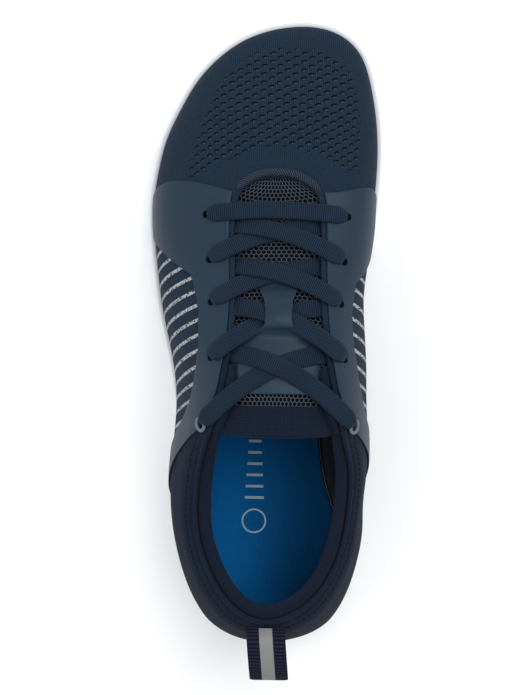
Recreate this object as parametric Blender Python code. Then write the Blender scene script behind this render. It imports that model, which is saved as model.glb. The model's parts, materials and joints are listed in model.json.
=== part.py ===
"""Barefoot shoe, left foot, as one assembly of closed solids.

Metres, +Z up, +Y to the toe, +X to the inner (medial) side of the foot.
The origin is on the flat face of a tread lug under the heel, where the shoe stands.
Tables hold shares: across of BALL_WIDTH, along of LENGTH, up of INSTEP_HEIGHT, unless a heading
names another size.
"""

import math

import bpy
import numpy as np
from mathutils import Vector
from mathutils.bvhtree import BVHTree

# Driving sizes, in metres
LENGTH = 0.280            # sole, heel end to toe tip
BALL_WIDTH = 0.106        # sole, widest, at the ball of the foot
INSTEP_HEIGHT = 0.078     # floor to the top of the lacing
HEEL_TO_ORIGIN = 0.060    # heel end to the rest face that holds the origin
RIM_HEIGHT = 0.0165       # floor to the top of the sole's side wall at the ball
RIM_WALL = 0.0022         # side wall of the sole
SOLE_BASE = 0.0026        # sole between lugs and foot
LUG_HEIGHT = 0.0028       # tread lugs below the base
LUG_ROOT = 0.0008         # how far a lug is rooted in the base
TOE_SPRING = 0.0085       # lift of the toe tip
HEEL_SPRING = 0.0025      # lift of the heel end
UPPER_WALL = 0.0020       # knitted shell
INSOLE_BOARD = 0.0030
PAD_THICKNESS = 0.0062    # collar roll
PAD_DEPTH = 0.026         # how far the collar lining reaches down
PAD_CROWN = 0.0026        # how far the roll stands above the shell's edge
TONGUE_WALL = 0.0026
FILM = 0.0007             # welded overlays
FILM_CLEAR = 0.0008       # under them, so that flat facets of the shell stay clear
PIPING = 0.0014
FIT_GAP = 0.0003          # between neighbouring pieces
LACE_WIDTH = 0.0075
LACE_THICKNESS = 0.0014
EYELET_RADIUS = 0.0019    # lace holes
RING_RADIUS = 0.0034      # rims of the top pair of holes
LOOP_WIDTH = 0.0165       # webbing of the pull loop
LOOP_WEBBING = 0.0015
LOOP_REACH = 0.0215       # how far the loop stands out behind the heel

AROUND = 60               # steps round the last

# Sole outline. station: along; medial, lateral: across; rim: share of RIM_HEIGHT above the tread;
# tuck: how far the bottom edge lies inside the top edge on the medial side, share of RIM_WALL.
OUTLINE = [
    # station, medial, lateral, rim, tuck
    (0.000, +0.012, +0.012, 1.08, 0.9),
    (0.016, +0.207, -0.154, 1.08, 0.9),
    (0.039, +0.280, -0.219, 1.07, 0.9),
    (0.086, +0.344, -0.287, 1.05, 0.9),
    (0.157, +0.376, -0.332, 1.00, 0.9),
    (0.204, +0.375, -0.352, 0.97, 1.0),
    (0.251, +0.344, -0.364, 0.94, 1.3),
    (0.321, +0.324, -0.372, 0.90, 1.9),
    (0.391, +0.315, -0.388, 0.88, 2.2),
    (0.462, +0.326, -0.421, 0.87, 2.1),
    (0.532, +0.347, -0.465, 0.86, 1.7),
    (0.579, +0.372, -0.485, 0.86, 1.3),
    (0.626, +0.417, -0.500, 0.86, 1.0),
    (0.674, +0.458, -0.511, 0.86, 0.7),
    (0.720, +0.473, -0.510, 0.86, 0.7),
    (0.768, +0.482, -0.491, 0.86, 0.7),
    (0.814, +0.482, -0.460, 0.86, 0.7),
    (0.861, +0.470, -0.403, 0.86, 0.7),
    (0.908, +0.445, -0.330, 0.87, 0.7),
    (0.955, +0.397, -0.210, 0.90, 0.7),
    (0.979, +0.336, -0.109, 0.92, 0.7),
    (1.000, +0.141, +0.141, 0.93, 0.7),
]
LATERAL_TUCK = 0.8        # share of RIM_WALL

# Sections of the last, round the shoe from the heel over the lateral side to the toe and back.
# foot: station where the section leaves the sole; edge_x, edge_s, edge_z: the opening's edge;
# lean: how far the first handle leans out, across; rise: its height, share of the section's;
# reach: how far the second handle lies outside the edge, across; drop: below it, share.
SECTIONS = [
    # side, foot, edge_x, edge_s, edge_z, lean, rise, reach, drop
    (-1, 0.000, +0.017, 0.055, 0.821, 0.020, 0.30, 0.080, 0.25),
    (-1, 0.021, -0.070, 0.063, 0.814, 0.030, 0.30, 0.075, 0.25),
    (-1, 0.079, -0.159, 0.090, 0.782, 0.045, 0.30, 0.070, 0.25),
    (-1, 0.161, -0.243, 0.144, 0.718, 0.070, 0.31, 0.060, 0.25),
    (-1, 0.236, -0.286, 0.214, 0.673, 0.075, 0.33, 0.045, 0.25),
    (-1, 0.300, -0.269, 0.290, 0.744, 0.065, 0.33, 0.060, 0.25),
    (-1, 0.350, -0.237, 0.333, 0.859, 0.050, 0.32, 0.085, 0.22),
    (-1, 0.400, -0.203, 0.372, 0.936, 0.035, 0.32, 0.110, 0.18),
    (-1, 0.457, -0.172, 0.426, 0.962, 0.025, 0.33, 0.140, 0.16),
    (-1, 0.536, -0.147, 0.484, 0.910, 0.020, 0.36, 0.160, 0.14),
    (-1, 0.614, -0.138, 0.551, 0.808, 0.020, 0.40, 0.170, 0.13),
    (-1, 0.696, -0.145, 0.625, 0.705, 0.020, 0.45, 0.180, 0.13),
    (-1, 0.771, -0.143, 0.682, 0.635, 0.020, 0.50, 0.190, 0.13),
    (-1, 0.857, -0.121, 0.718, 0.603, 0.020, 0.52, 0.220, 0.15),
    (-1, 0.936, -0.057, 0.737, 0.590, 0.025, 0.52, 0.280, 0.20),
    (+1, 1.000, +0.035, 0.743, 0.590, 0.028, 0.52, 0.320, 0.22),
    (+1, 0.936, +0.136, 0.737, 0.590, 0.025, 0.52, 0.280, 0.20),
    (+1, 0.857, +0.200, 0.718, 0.603, 0.020, 0.52, 0.220, 0.15),
    (+1, 0.771, +0.226, 0.682, 0.635, 0.020, 0.50, 0.170, 0.13),
    (+1, 0.696, +0.228, 0.625, 0.705, 0.030, 0.45, 0.170, 0.13),
    (+1, 0.614, +0.231, 0.551, 0.808, 0.090, 0.37, 0.165, 0.13),
    (+1, 0.536, +0.244, 0.484, 0.910, 0.160, 0.31, 0.150, 0.14),
    (+1, 0.457, +0.270, 0.426, 0.962, 0.210, 0.28, 0.130, 0.15),
    (+1, 0.400, +0.302, 0.372, 0.936, 0.215, 0.28, 0.100, 0.17),
    (+1, 0.350, +0.328, 0.333, 0.859, 0.195, 0.29, 0.075, 0.20),
    (+1, 0.300, +0.358, 0.291, 0.763, 0.150, 0.31, 0.050, 0.25),
    (+1, 0.236, +0.355, 0.214, 0.699, 0.100, 0.33, 0.030, 0.27),
    (+1, 0.161, +0.311, 0.145, 0.731, 0.070, 0.32, 0.040, 0.27),
    (+1, 0.079, +0.219, 0.091, 0.788, 0.045, 0.30, 0.060, 0.25),
    (+1, 0.021, +0.111, 0.063, 0.814, 0.030, 0.30, 0.075, 0.25),
]

# Lines of tread lugs. points: +1 towards the toe, -1 towards the heel; x, s: tip of the first
# lug; step_x, step_s: to the next; count; width: across; height: along.
LUG_LINES = [
    # points, x, s, step_x, step_s, count, width, height
    (+1, +0.289, 0.894, -0.195, -0.005, 2, 0.126, 0.039),
    (+1, -0.113, 0.871, 0.0, 0.0, 1, 0.149, 0.039),
    (+1, +0.292, 0.850, -0.184, -0.002, 2, 0.141, 0.039),
    (+1, -0.285, 0.840, 0.0, 0.0, 1, 0.117, 0.039),
    (+1, +0.302, 0.801, -0.203, -0.005, 2, 0.144, 0.039),
    (+1, -0.136, 0.810, -0.204, -0.021, 2, 0.143, 0.039),
    (+1, +0.315, 0.745, -0.185, +0.004, 2, 0.146, 0.039),
    (+1, -0.042, 0.761, 0.0, 0.0, 1, 0.150, 0.039),
    (+1, +0.270, 0.698, -0.172, +0.003, 3, 0.139, 0.039),
    (+1, +0.216, 0.644, -0.161, +0.003, 3, 0.112, 0.039),
    (+1, +0.117, 0.602, -0.149, +0.003, 2, 0.113, 0.037),
    (-1, -0.218, 0.704, -0.172, +0.001, 2, 0.126, 0.040),
    (-1, -0.235, 0.653, -0.154, 0.000, 2, 0.113, 0.038),
    (-1, -0.258, 0.607, -0.135, -0.002, 2, 0.114, 0.033),
    (-1, -0.204, 0.564, -0.149, -0.004, 2, 0.107, 0.036),
    (-1, +0.110, 0.520, 0.0, 0.0, 1, 0.085, 0.031),
    (-1, -0.109, 0.529, -0.176, -0.012, 2, 0.112, 0.035),
    (-1, -0.001, 0.482, -0.133, -0.004, 3, 0.102, 0.031),
    (-1, -0.073, 0.424, -0.151, 0.000, 2, 0.121, 0.041),
    (-1, -0.022, 0.388, -0.105, -0.003, 3, 0.093, 0.029),
    (-1, +0.006, 0.351, -0.119, -0.003, 3, 0.088, 0.027),
    (-1, +0.051, 0.310, -0.134, -0.003, 3, 0.098, 0.030),
    (-1, +0.097, 0.262, -0.149, -0.001, 3, 0.106, 0.034),
    (-1, +0.165, 0.211, 0.0, 0.0, 1, 0.114, 0.028),
    (-1, -0.019, 0.199, 0.0, 0.0, 1, 0.137, 0.044),
    (-1, -0.196, 0.226, 0.0, 0.0, 1, 0.114, 0.032),
    (-1, +0.051, 0.145, -0.183, -0.004, 2, 0.148, 0.045),
    (-1, +0.048, 0.105, -0.137, -0.002, 2, 0.110, 0.035),
    (-1, -0.010, 0.057, 0.0, 0.0, 1, 0.119, 0.041),
]

# Blocks along the edge. side; first, last: stations; count; proud: beyond the wall, metres.
EDGE_BLOCKS = [
    # side, first, last, count, proud
    (-1, 0.203, 0.763, 14, +0.0001),
    (+1, 0.617, 0.867, 6, -0.0004),
]
BLOCK_ALONG = 0.0080
BLOCK_ACROSS = 0.0080
BLOCK_UP = 0.0068

# Toe bars in columns. x_from, x_to: across; slope: along per across; grooves: stations at x_from.
TOE_BARS = [
    # x_from, x_to, slope, grooves between the bars
    (+0.455, +0.175, +0.00, (0.898, 0.925, 0.952, 0.974, 1.000)),
    (+0.130, -0.014, -0.16, (0.895, 0.922, 0.950, 0.973, 0.994)),
    (-0.064, -0.200, -0.36, (0.872, 0.900, 0.928, 0.952, 0.972)),
    (-0.240, -0.480, -0.82, (0.856, 0.880, 0.902, 0.925)),
]
TOE_GROOVE = 0.0017

# Smooth arch panel: stations and how far its two edges lie from the medial rim, across.
ARCH_PANEL = [
    # station, outer, inner
    (0.590, 0.035, 0.085),
    (0.545, 0.050, 0.140),
    (0.518, 0.050, 0.240),
    (0.489, 0.050, 0.285),
    (0.457, 0.050, 0.310),
    (0.434, 0.050, 0.315),
    (0.403, 0.050, 0.300),
    (0.346, 0.050, 0.245),
    (0.321, 0.050, 0.200),
    (0.293, 0.050, 0.150),
    (0.268, 0.045, 0.095),
]
ARCH_PANEL_DROP = 0.0010  # how far it stands below the base

# Welded film on each side, in sections from the tail to the front. foot and up: station of the
# foot and height on the section, for the lower and the upper edge.
FILM_ROWS = [
    # low_foot, low_up, high_foot, high_up
    (0.245, 0.03, 0.204, 0.03),
    (0.290, 0.25, 0.250, 0.30),
    (0.335, 0.45, 0.300, 0.55),
    (0.380, 0.60, 0.345, 0.76),
    (0.420, 0.68, 0.385, 0.92),
    (0.455, 0.70, 0.440, 0.975),
    (0.520, 0.68, 0.530, 0.975),
    (0.580, 0.62, 0.610, 0.975),
    (0.625, 0.50, 0.660, 0.975),
    (0.638, 0.03, 0.700, 0.975),
    (0.680, 0.03, 0.770, 0.975),
    (0.725, 0.03, 0.830, 0.965),
]

# Lace holes, front to top: station, and where they lie across on either side.
HOLES = [
    # station, lateral, medial
    (0.680, -0.259, +0.331),
    (0.609, -0.240, +0.317),
    (0.543, -0.228, +0.303),
    (0.459, -0.223, +0.317),
    (0.357, -0.253, +0.355),
]

# Stations where the crossing runs of the lace come out under the throat's edges, front to top.
LACE_STARTS = (0.664, 0.600, 0.536, 0.466)
LACE_BOW = 0.0030         # how far a run bows towards the toe between its ends
LACE_SAMPLES = 13
LACE_END = 0.55           # how far a run narrows at its hole, share of LACE_WIDTH
THROAT_CLEAR = 0.0024     # between the throat's edge and a run that comes out under it

# Smooth patch on the tongue with its bridge over the third crossing. station; width: across;
# lift: how far it stands off the tongue, in lace thicknesses.
PATCH_ROWS = [
    # station, width, lift
    (0.405, 0.300, 0.0),
    (0.425, 0.320, 0.0),
    (0.445, 0.330, 0.0),
    (0.464, 0.310, 0.0),
    (0.476, 0.220, 1.0),
    (0.487, 0.130, 3.0),
    (0.499, 0.106, 4.2),
    (0.515, 0.106, 4.5),
    (0.531, 0.106, 4.3),
    (0.546, 0.112, 3.6),
    (0.557, 0.122, 1.9),
    (0.567, 0.135, 0.2),
    (0.577, 0.100, 0.0),
]


def column(table, name, names):
    return np.array([row[names.index(name)] for row in table], float)


def periodic_spline(at, values, where):
    """Cubic through values at the knots `at` in [0, 1), closed on itself, read at `where`."""
    order = np.argsort(at)
    knots, data = np.asarray(at)[order], np.asarray(values, float)[order]
    count = len(knots)
    steps = np.diff(np.append(knots, knots[0] + 1.0))
    rise = np.diff(np.append(data, data[0])) / steps
    matrix = np.zeros((count, count))
    right = np.zeros(count)
    for i in range(count):
        before = steps[i - 1]
        after = steps[i]
        matrix[i, i] = 2 * (before + after)
        matrix[i, i - 1] += before
        matrix[i, (i + 1) % count] += after
        right[i] = 6 * (rise[i] - rise[i - 1])
    bend = np.linalg.solve(matrix, right)
    where = np.mod(np.asarray(where, float) - knots[0], 1.0) + knots[0]
    index = np.clip(np.searchsorted(knots, where, side="right") - 1, 0, count - 1)
    width = steps[index]
    part = (where - knots[index]) / width
    other = 1 - part
    following = (index + 1) % count
    curve = (part**3 - part) * bend[following] + (other**3 - other) * bend[index]
    return other * data[index] + part * data[following] + curve * width**2 / 6


def turn_of(station, side):
    """Place round the loop, 0 at the heel and 0.5 at the toe, of a station on one side."""
    half = math.acos(1 - 2 * min(max(station, 0.0), 1.0)) / (2 * math.pi)
    return half if side < 0 else (1 - half) % 1.0


OUTLINE_NAMES = ("station", "medial", "lateral", "rim", "tuck")
INNER_ROWS = OUTLINE[1:-1]
OUTLINE_TURNS = (
    [turn_of(row[0], -1) for row in OUTLINE] + [turn_of(row[0], +1) for row in INNER_ROWS]
)


def round_the_sole(name_lateral, name_medial):
    lateral = column(OUTLINE, name_lateral, OUTLINE_NAMES)
    medial = column(INNER_ROWS, name_medial, OUTLINE_NAMES)
    return np.concatenate([lateral, medial])


OUTLINE_X = round_the_sole("lateral", "medial") * BALL_WIDTH
OUTLINE_RIM = round_the_sole("rim", "rim") * RIM_HEIGHT
OUTLINE_TUCK = np.concatenate([
    np.full(len(OUTLINE), LATERAL_TUCK),
    column(INNER_ROWS, "tuck", OUTLINE_NAMES),
]) * RIM_WALL


def sole_edge(turns):
    """Plan points (x, s) of the sole's outline."""
    turns = np.asarray(turns, float)
    x = periodic_spline(OUTLINE_TURNS, OUTLINE_X, turns)
    s = LENGTH * (1 - np.cos(2 * np.pi * turns)) / 2
    return np.stack([x, s], -1)


def outward(turns):
    """Unit plan normals of the outline, pointing away from the shoe."""
    step = 1e-4
    turns = np.asarray(turns, float)
    along = sole_edge(turns + step) - sole_edge(turns - step)
    normal = np.stack([-along[..., 1], along[..., 0]], -1)
    return normal / np.linalg.norm(normal, axis=-1, keepdims=True)


def tread(s):
    """Height of the tread's own surface above the floor: zero where the shoe stands."""
    share = np.asarray(s, float) / LENGTH
    toe = np.clip((share - 0.70) / 0.30, 0, None) ** 2.0
    heel = np.clip((0.075 - share) / 0.075, 0, None) ** 2.0
    return TOE_SPRING * toe + HEEL_SPRING * heel


def ring(turns, out, height):
    """Points at `out` beyond the outline and `height` above the tread's surface."""
    plan = sole_edge(turns) + outward(turns) * np.reshape(out, (-1, 1))
    return np.column_stack([plan[:, 0], plan[:, 1] - HEEL_TO_ORIGIN, tread(plan[:, 1]) + height])


def rim_top(turns):
    return periodic_spline(OUTLINE_TURNS, OUTLINE_RIM, turns)


def tuck(turns):
    return periodic_spline(OUTLINE_TURNS, OUTLINE_TUCK, turns)


BASE_TOP = LUG_HEIGHT + SOLE_BASE
SECTION_NAMES = (
    "side", "foot", "edge_x", "edge_s", "edge_z", "lean", "rise", "reach", "drop",
)
SECTION_TURNS = [turn_of(row[1], row[0]) for row in SECTIONS]


def section_value(name, turns, size=1.0):
    return periodic_spline(SECTION_TURNS, column(SECTIONS, name, SECTION_NAMES) * size, turns)


def opening_edge(turns):
    return np.column_stack([
        section_value("edge_x", turns, BALL_WIDTH),
        section_value("edge_s", turns, LENGTH) - HEEL_TO_ORIGIN,
        section_value("edge_z", turns, INSTEP_HEIGHT),
    ])


def section_handles(turns):
    """The four points of the Bezier that each section follows above the rim."""
    turns = np.asarray(turns, float)
    foot = ring(turns, -(RIM_WALL + FIT_GAP) * np.ones(len(turns)), rim_top(turns))
    edge = opening_edge(turns)
    out = np.column_stack([outward(turns), np.zeros(len(turns))])
    height = (edge[:, 2] - foot[:, 2])[:, None]
    up = np.array([0, 0, 1.0])
    first = foot + out * section_value("lean", turns, BALL_WIDTH)[:, None]
    first = first + up * height * section_value("rise", turns)[:, None]
    second = edge + out * section_value("reach", turns, BALL_WIDTH)[:, None]
    second = second - up * height * section_value("drop", turns)[:, None]
    return foot, first, second, edge


def last_point(turns, ups):
    """Outer surface of the upper at places round the shoe, ups from 0 at the rim to 1 at the edge."""
    a, b, c, d = section_handles(turns)
    u = np.asarray(ups, float)[:, None]
    v = 1 - u
    return v**3 * a + 3 * v**2 * u * b + 3 * v * u**2 * c + u**3 * d


def last_normal(turns, ups):
    turns = np.asarray(turns, float)
    ups = np.asarray(ups, float)
    step = 2e-3
    high = np.minimum(ups + step, 1.0)
    low = np.maximum(high - 2 * step, 0.0)
    along = last_point(turns + step, ups) - last_point(turns - step, ups)
    upward = last_point(turns, high) - last_point(turns, low)
    normal = np.cross(upward, along)
    return normal / np.linalg.norm(normal, axis=1, keepdims=True)


def off_last(turns, ups, distance):
    """Point at a signed distance outside the upper's outer surface."""
    distance = np.broadcast_to(np.asarray(distance, float), np.shape(turns))
    return last_point(turns, ups) + last_normal(turns, ups) * distance[:, None]


def colour(name, rgb, roughness):
    material = bpy.data.materials.new(name)
    material.use_nodes = True
    shader = material.node_tree.nodes["Principled BSDF"]
    shader.inputs["Base Color"].default_value = (*rgb, 1.0)
    shader.inputs["Roughness"].default_value = roughness
    material.diffuse_color = (*rgb, 1.0)
    return material


def solid(name, points, faces, material):
    mesh = bpy.data.meshes.new(name)
    mesh.from_pydata([tuple(map(float, p)) for p in points], [], faces)
    mesh.update()
    made = bpy.data.objects.new(name, mesh)
    bpy.context.scene.collection.objects.link(made)
    if material:
        mesh.materials.append(material)
    return made


def grid_faces(rows, columns, closed_rows=False, closed_columns=False, start=0):
    """Quads over a grid of points stored row by row."""
    faces = []
    for i in range(rows if closed_rows else rows - 1):
        for j in range(columns if closed_columns else columns - 1):
            i2 = (i + 1) % rows
            j2 = (j + 1) % columns
            faces.append((
                start + i * columns + j,
                start + i * columns + j2,
                start + i2 * columns + j2,
                start + i2 * columns + j,
            ))
    return faces


def facing_out(made):
    """Turns the mesh round if its volume is negative."""
    made.data.calc_loop_triangles()
    points = np.array([v.co for v in made.data.vertices])
    corners = np.array([t.vertices for t in made.data.loop_triangles])
    a, b, c = points[corners[:, 0]], points[corners[:, 1]], points[corners[:, 2]]
    if np.einsum("ij,ij->i", a, np.cross(b, c)).sum() < 0:
        made.data.flip_normals()
    return made


def slab(name, outer, inner, material, closed_rows=False):
    """Closed solid between two equal grids of points, rows by columns."""
    rows, columns = outer.shape[:2]
    count = rows * columns
    points = np.concatenate([outer.reshape(-1, 3), inner.reshape(-1, 3)])
    faces = grid_faces(rows, columns, closed_rows)
    faces += [tuple(count + i for i in face[::-1]) for face in grid_faces(rows, columns, closed_rows)]
    for i in range(rows if closed_rows else rows - 1):
        i2 = (i + 1) % rows
        for j, turned in ((0, False), (columns - 1, True)):
            a, b = i * columns + j, i2 * columns + j
            face = (a, b, count + b, count + a)
            faces.append(face[::-1] if turned else face)
    if not closed_rows:
        for i, turned in ((0, True), (rows - 1, False)):
            for j in range(columns - 1):
                a, b = i * columns + j, i * columns + j + 1
                face = (a, b, count + b, count + a)
                faces.append(face[::-1] if turned else face)
    return facing_out(solid(name, points, faces, material))


def prism(points, faces, low, high):
    """Adds a prism between two equal closed polygons of points."""
    start = len(points)
    count = len(low)
    points.extend(low)
    points.extend(high)
    faces.append(tuple(start + i for i in range(count))[::-1])
    faces.append(tuple(start + count + i for i in range(count)))
    for i in range(count):
        j = (i + 1) % count
        faces.append((start + i, start + j, start + count + j, start + count + i))


def combine(target, other, operation, name):
    """Exact Boolean with a helper that stays out of the render."""
    other.hide_render = True
    other.display_type = "WIRE"
    modifier = target.modifiers.new(name, "BOOLEAN")
    modifier.operation = operation
    modifier.solver = "EXACT"
    modifier.use_self = True
    modifier.object = other


def counter_clockwise(plan):
    x, s = plan[:, 0], plan[:, 1]
    area = np.sum(x * np.roll(s, -1) - s * np.roll(x, -1))
    return plan if area > 0 else plan[::-1]


def tread_prism(points, faces, plan, shrink, top, bottom=0.0):
    """A tread element: plan polygon (x, s), standing on the tread's surface up into the base."""
    plan = counter_clockwise(np.asarray(plan, float))
    middle = plan.mean(axis=0)
    face = middle + (plan - middle) * shrink
    low = np.column_stack([face[:, 0], face[:, 1] - HEEL_TO_ORIGIN, tread(face[:, 1]) + bottom])
    high = np.column_stack([plan[:, 0], plan[:, 1] - HEEL_TO_ORIGIN, tread(plan[:, 1]) + top])
    prism(points, faces, list(low), list(high))


def tip_station(x, inset):
    """Station of the sole's toe outline at a place across, less an inset."""
    turns = np.linspace(0.30, 0.70, 161)
    plan = sole_edge(turns) - outward(turns) * inset
    order = np.argsort(plan[:, 0])
    return float(np.interp(x, plan[order, 0], plan[order, 1]))


def build_outsole(rubber):
    turns = np.arange(AROUND) / AROUND
    tucks = tuck(turns)
    tops = rim_top(turns) - FIT_GAP
    rings = [
        ring(turns, -tucks - 0.0003, LUG_HEIGHT * np.ones(AROUND)),
        ring(turns, -tucks * 0.35, LUG_HEIGHT + (tops - LUG_HEIGHT) * 0.45),
        ring(turns, 0 * tucks, tops - 0.0006),
        ring(turns, 0 * tucks - 0.0006, tops),
        ring(turns, 0 * tucks - RIM_WALL, tops),
        ring(turns, -tucks - RIM_WALL, BASE_TOP * np.ones(AROUND)),
    ]
    points = np.concatenate(rings)
    faces = grid_faces(len(rings), AROUND, closed_columns=True)
    half = AROUND // 2
    for start, turned in ((0, True), ((len(rings) - 1) * AROUND, False)):
        for i in range(half):
            a, b = i, i + 1
            c, d = (AROUND - i - 1) % AROUND, (AROUND - i) % AROUND
            face = tuple(start + k for k in dict.fromkeys((a, b, c, d)))
            faces.append(face[::-1] if turned else face)
    sole = facing_out(solid("outsole", points, faces, rubber))

    points, faces = [], []
    root = LUG_HEIGHT + LUG_ROOT
    for way, x, s, step_x, step_s, count, width, height in LUG_LINES:
        wide, high = width * BALL_WIDTH / 2, height * LENGTH
        for i in range(count):
            tip_x = (x + i * step_x) * BALL_WIDTH
            tip_s = (s + i * step_s) * LENGTH
            shape = [(0, 0), (1, 0.37), (0.86, 1), (0, 0.54), (-0.86, 1), (-1, 0.37)]
            plan = [(tip_x + a * wide, tip_s - way * b * high) for a, b in shape]
            tread_prism(points, faces, plan, 0.86, root)
    for x_from, x_to, slope, grooves in TOE_BARS:
        for low, high in zip(grooves[:-1], grooves[1:]):
            lower, upper = [], []
            for share in np.linspace(0, 1, 3):
                across = x_from + (x_to - x_from) * share
                shift = slope * (x_from - across) * BALL_WIDTH
                limit = tip_station(across * BALL_WIDTH, 0.0030)
                under = low * LENGTH + shift + TOE_GROOVE / 2
                over = min(high * LENGTH + shift - TOE_GROOVE / 2, limit)
                if over - under > 0.0012:
                    lower.append((across * BALL_WIDTH, under))
                    upper.append((across * BALL_WIDTH, over))
            if len(lower) > 1:
                tread_prism(points, faces, lower + upper[::-1], 0.94, root)
    stations = column(ARCH_PANEL, "station", ("station", "outer", "inner"))
    edge = sole_edge([turn_of(station, +1) for station in stations])
    outer = column(ARCH_PANEL, "outer", ("station", "outer", "inner")) * BALL_WIDTH
    inner = column(ARCH_PANEL, "inner", ("station", "outer", "inner")) * BALL_WIDTH
    plan = [(x - away, s) for (x, s), away in zip(edge, outer)]
    plan += [(x - away, s) for (x, s), away in zip(edge[::-1], inner[::-1])]
    tread_prism(points, faces, plan, 0.98, root, LUG_HEIGHT - ARCH_PANEL_DROP)
    for side, first, last, count, proud in EDGE_BLOCKS:
        for station in np.linspace(first, last, count):
            turn = turn_of(station, side)
            middle = sole_edge([turn])[0]
            out = outward([turn])[0]
            along = np.array([out[1], -out[0]]) * BLOCK_ALONG / 2
            wall = float((LATERAL_TUCK * RIM_WALL) if side < 0 else tuck([turn])[0])
            near = middle + out * (proud - wall * 0.4)
            far = near - out * BLOCK_ACROSS
            plan = [near - along, near + along, far + along, far - along]
            if side < 0:
                plan_low = [p - out * 0.0006 for p in plan]
            else:
                plan_low = plan
            plan = counter_clockwise(np.array(plan))
            plan_low = counter_clockwise(np.array(plan_low))
            block_top = LUG_HEIGHT + 0.45 * (BLOCK_UP - LUG_HEIGHT) if side > 0 else BLOCK_UP
            low = [(p[0], p[1] - HEEL_TO_ORIGIN, float(tread(p[1]))) for p in plan_low]
            high = []
            for p in plan:
                is_far = np.dot(p - middle, out) < -BLOCK_ACROSS / 2
                up = root if is_far else block_top
                high.append((p[0], p[1] - HEEL_TO_ORIGIN, float(tread(p[1])) + up))
            prism(points, faces, low, high)
    lugs = solid("tread_elements", points, faces, rubber)
    combine(sole, lugs, "UNION", "tread")
    return sole


def build_insole(foam):
    turns = np.arange(AROUND) / AROUND
    out = -(tuck(turns) + RIM_WALL + 2 * FIT_GAP + UPPER_WALL + 0.0006)
    low = ring(turns, out, (BASE_TOP + FIT_GAP) * np.ones(AROUND))
    high = ring(turns, out, (BASE_TOP + FIT_GAP + INSOLE_BOARD) * np.ones(AROUND))
    points = np.concatenate([low, high])
    faces = grid_faces(2, AROUND, closed_columns=True)
    for start, turned in ((0, True), (AROUND, False)):
        for i in range(AROUND // 2):
            c, d = (AROUND - i - 1) % AROUND, (AROUND - i) % AROUND
            face = tuple(start + k for k in dict.fromkeys((i, i + 1, c, d)))
            faces.append(face[::-1] if turned else face)
    return facing_out(solid("insole", points, faces, foam))


UPPER_UPS = (0.0, 0.08, 0.18, 0.30, 0.43, 0.57, 0.72, 0.87, 1.0)


def build_upper(knit):
    turns = np.arange(AROUND) / AROUND
    foot = ring(turns, -(tuck(turns) + RIM_WALL + FIT_GAP), (BASE_TOP + FIT_GAP) * np.ones(AROUND))
    out = np.column_stack([outward(turns), np.zeros(AROUND)])
    outer = [foot]
    inner = [foot - out * UPPER_WALL]
    for up in UPPER_UPS:
        ups = np.full(AROUND, up)
        outer.append(off_last(turns, ups, 0.0))
        if up == 0.0:
            inner.append(last_point(turns, ups) - out * UPPER_WALL)
        else:
            inner.append(off_last(turns, ups, -UPPER_WALL))
    outer = np.array(outer)
    inner = np.array(inner)
    crest = outer[-1] - outer[-2]
    crest /= np.linalg.norm(crest, axis=1, keepdims=True)
    brow = (outer[-1] + inner[-1]) / 2 + crest * UPPER_WALL * 0.3
    rings = list(outer) + [brow] + list(inner[::-1])
    points = np.concatenate(rings)
    faces = grid_faces(len(rings), AROUND, closed_rows=True, closed_columns=True)
    return facing_out(solid("upper", points, faces, knit))


def hermite(a, b, slope_a, slope_b, shares):
    u = np.asarray(shares, float)[:, None]
    return (
        (2 * u**3 - 3 * u**2 + 1) * a
        + (u**3 - 2 * u**2 + u) * slope_a
        + (3 * u**2 - 2 * u**3) * b
        + (u**3 - u**2) * slope_b
    )


TONGUE_COLUMNS = 7        # points of the arch between the throat's edges
# foot: station of the foot of the section that carries the row; margin: how far the tongue
# reaches under the shell, share of the section; inset: share of half its width, at the collar.
TONGUE_SECTIONS = [
    # foot, margin, inset
    (0.855, 0.09, 0.00),
    (0.815, 0.09, 0.00),
    (0.771, 0.09, 0.00),
    (0.720, 0.09, 0.00),
    (0.660, 0.09, 0.00),
    (0.600, 0.085, 0.00),
    (0.540, 0.075, 0.02),
    (0.490, 0.055, 0.12),
    (0.450, 0.040, 0.22),
]
TONGUE_CLEAR = 0.0012     # between shell and tongue, room for the lace


def tongue_rows():
    """Middle surface of the tongue: rows from under the toe box to the free top."""
    depth = UPPER_WALL + TONGUE_CLEAR + TONGUE_WALL / 2
    columns = TONGUE_COLUMNS + 4
    rows = []
    front = np.linspace(turn_of(0.885, -1), 1 - turn_of(0.885, -1), columns)
    for up in (0.93, 0.985):
        rows.append(off_last(front, np.full(columns, up), -depth))
    inner = np.linspace(0, 1, TONGUE_COLUMNS)
    for foot, margin, inset in TONGUE_SECTIONS:
        sides = []
        for turn in (turn_of(foot, -1), turn_of(foot, +1)):
            ups = np.array([1 - margin, 1 - margin / 2, 0.995])
            sides.append(off_last(np.full(3, turn), ups, -depth))
        middle = (sides[0][2] + sides[1][2]) / 2
        for here in sides:
            here[:, :2] += (middle[:2] - here[2, :2]) * inset
        left, right = sides
        span = np.linalg.norm(right[2] - left[2])
        slope_left = (left[2] - left[1]) / np.linalg.norm(left[2] - left[1]) * span
        slope_right = (right[1] - right[2]) / np.linalg.norm(right[1] - right[2]) * span
        arch = hermite(left[2], right[2], slope_left * 0.75, slope_right * 0.75, inner)
        rows.append(np.concatenate([left[:2], arch, right[:2][::-1]]))
    # The free top leans on up the foot, a little narrower in each row.
    last, before = rows[-1], rows[-3]
    climb = last - before
    climb = climb.mean(axis=0)
    climb /= np.linalg.norm(climb)
    middle = last[columns // 2]
    for step, narrow in ((0.0075, 0.96), (0.0150, 0.93), (0.0225, 0.90)):
        row = middle + (last - middle) * np.array([narrow, 1.0, 0.95]) + climb * step
        rows.append(row)
    return np.array(rows)


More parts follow.
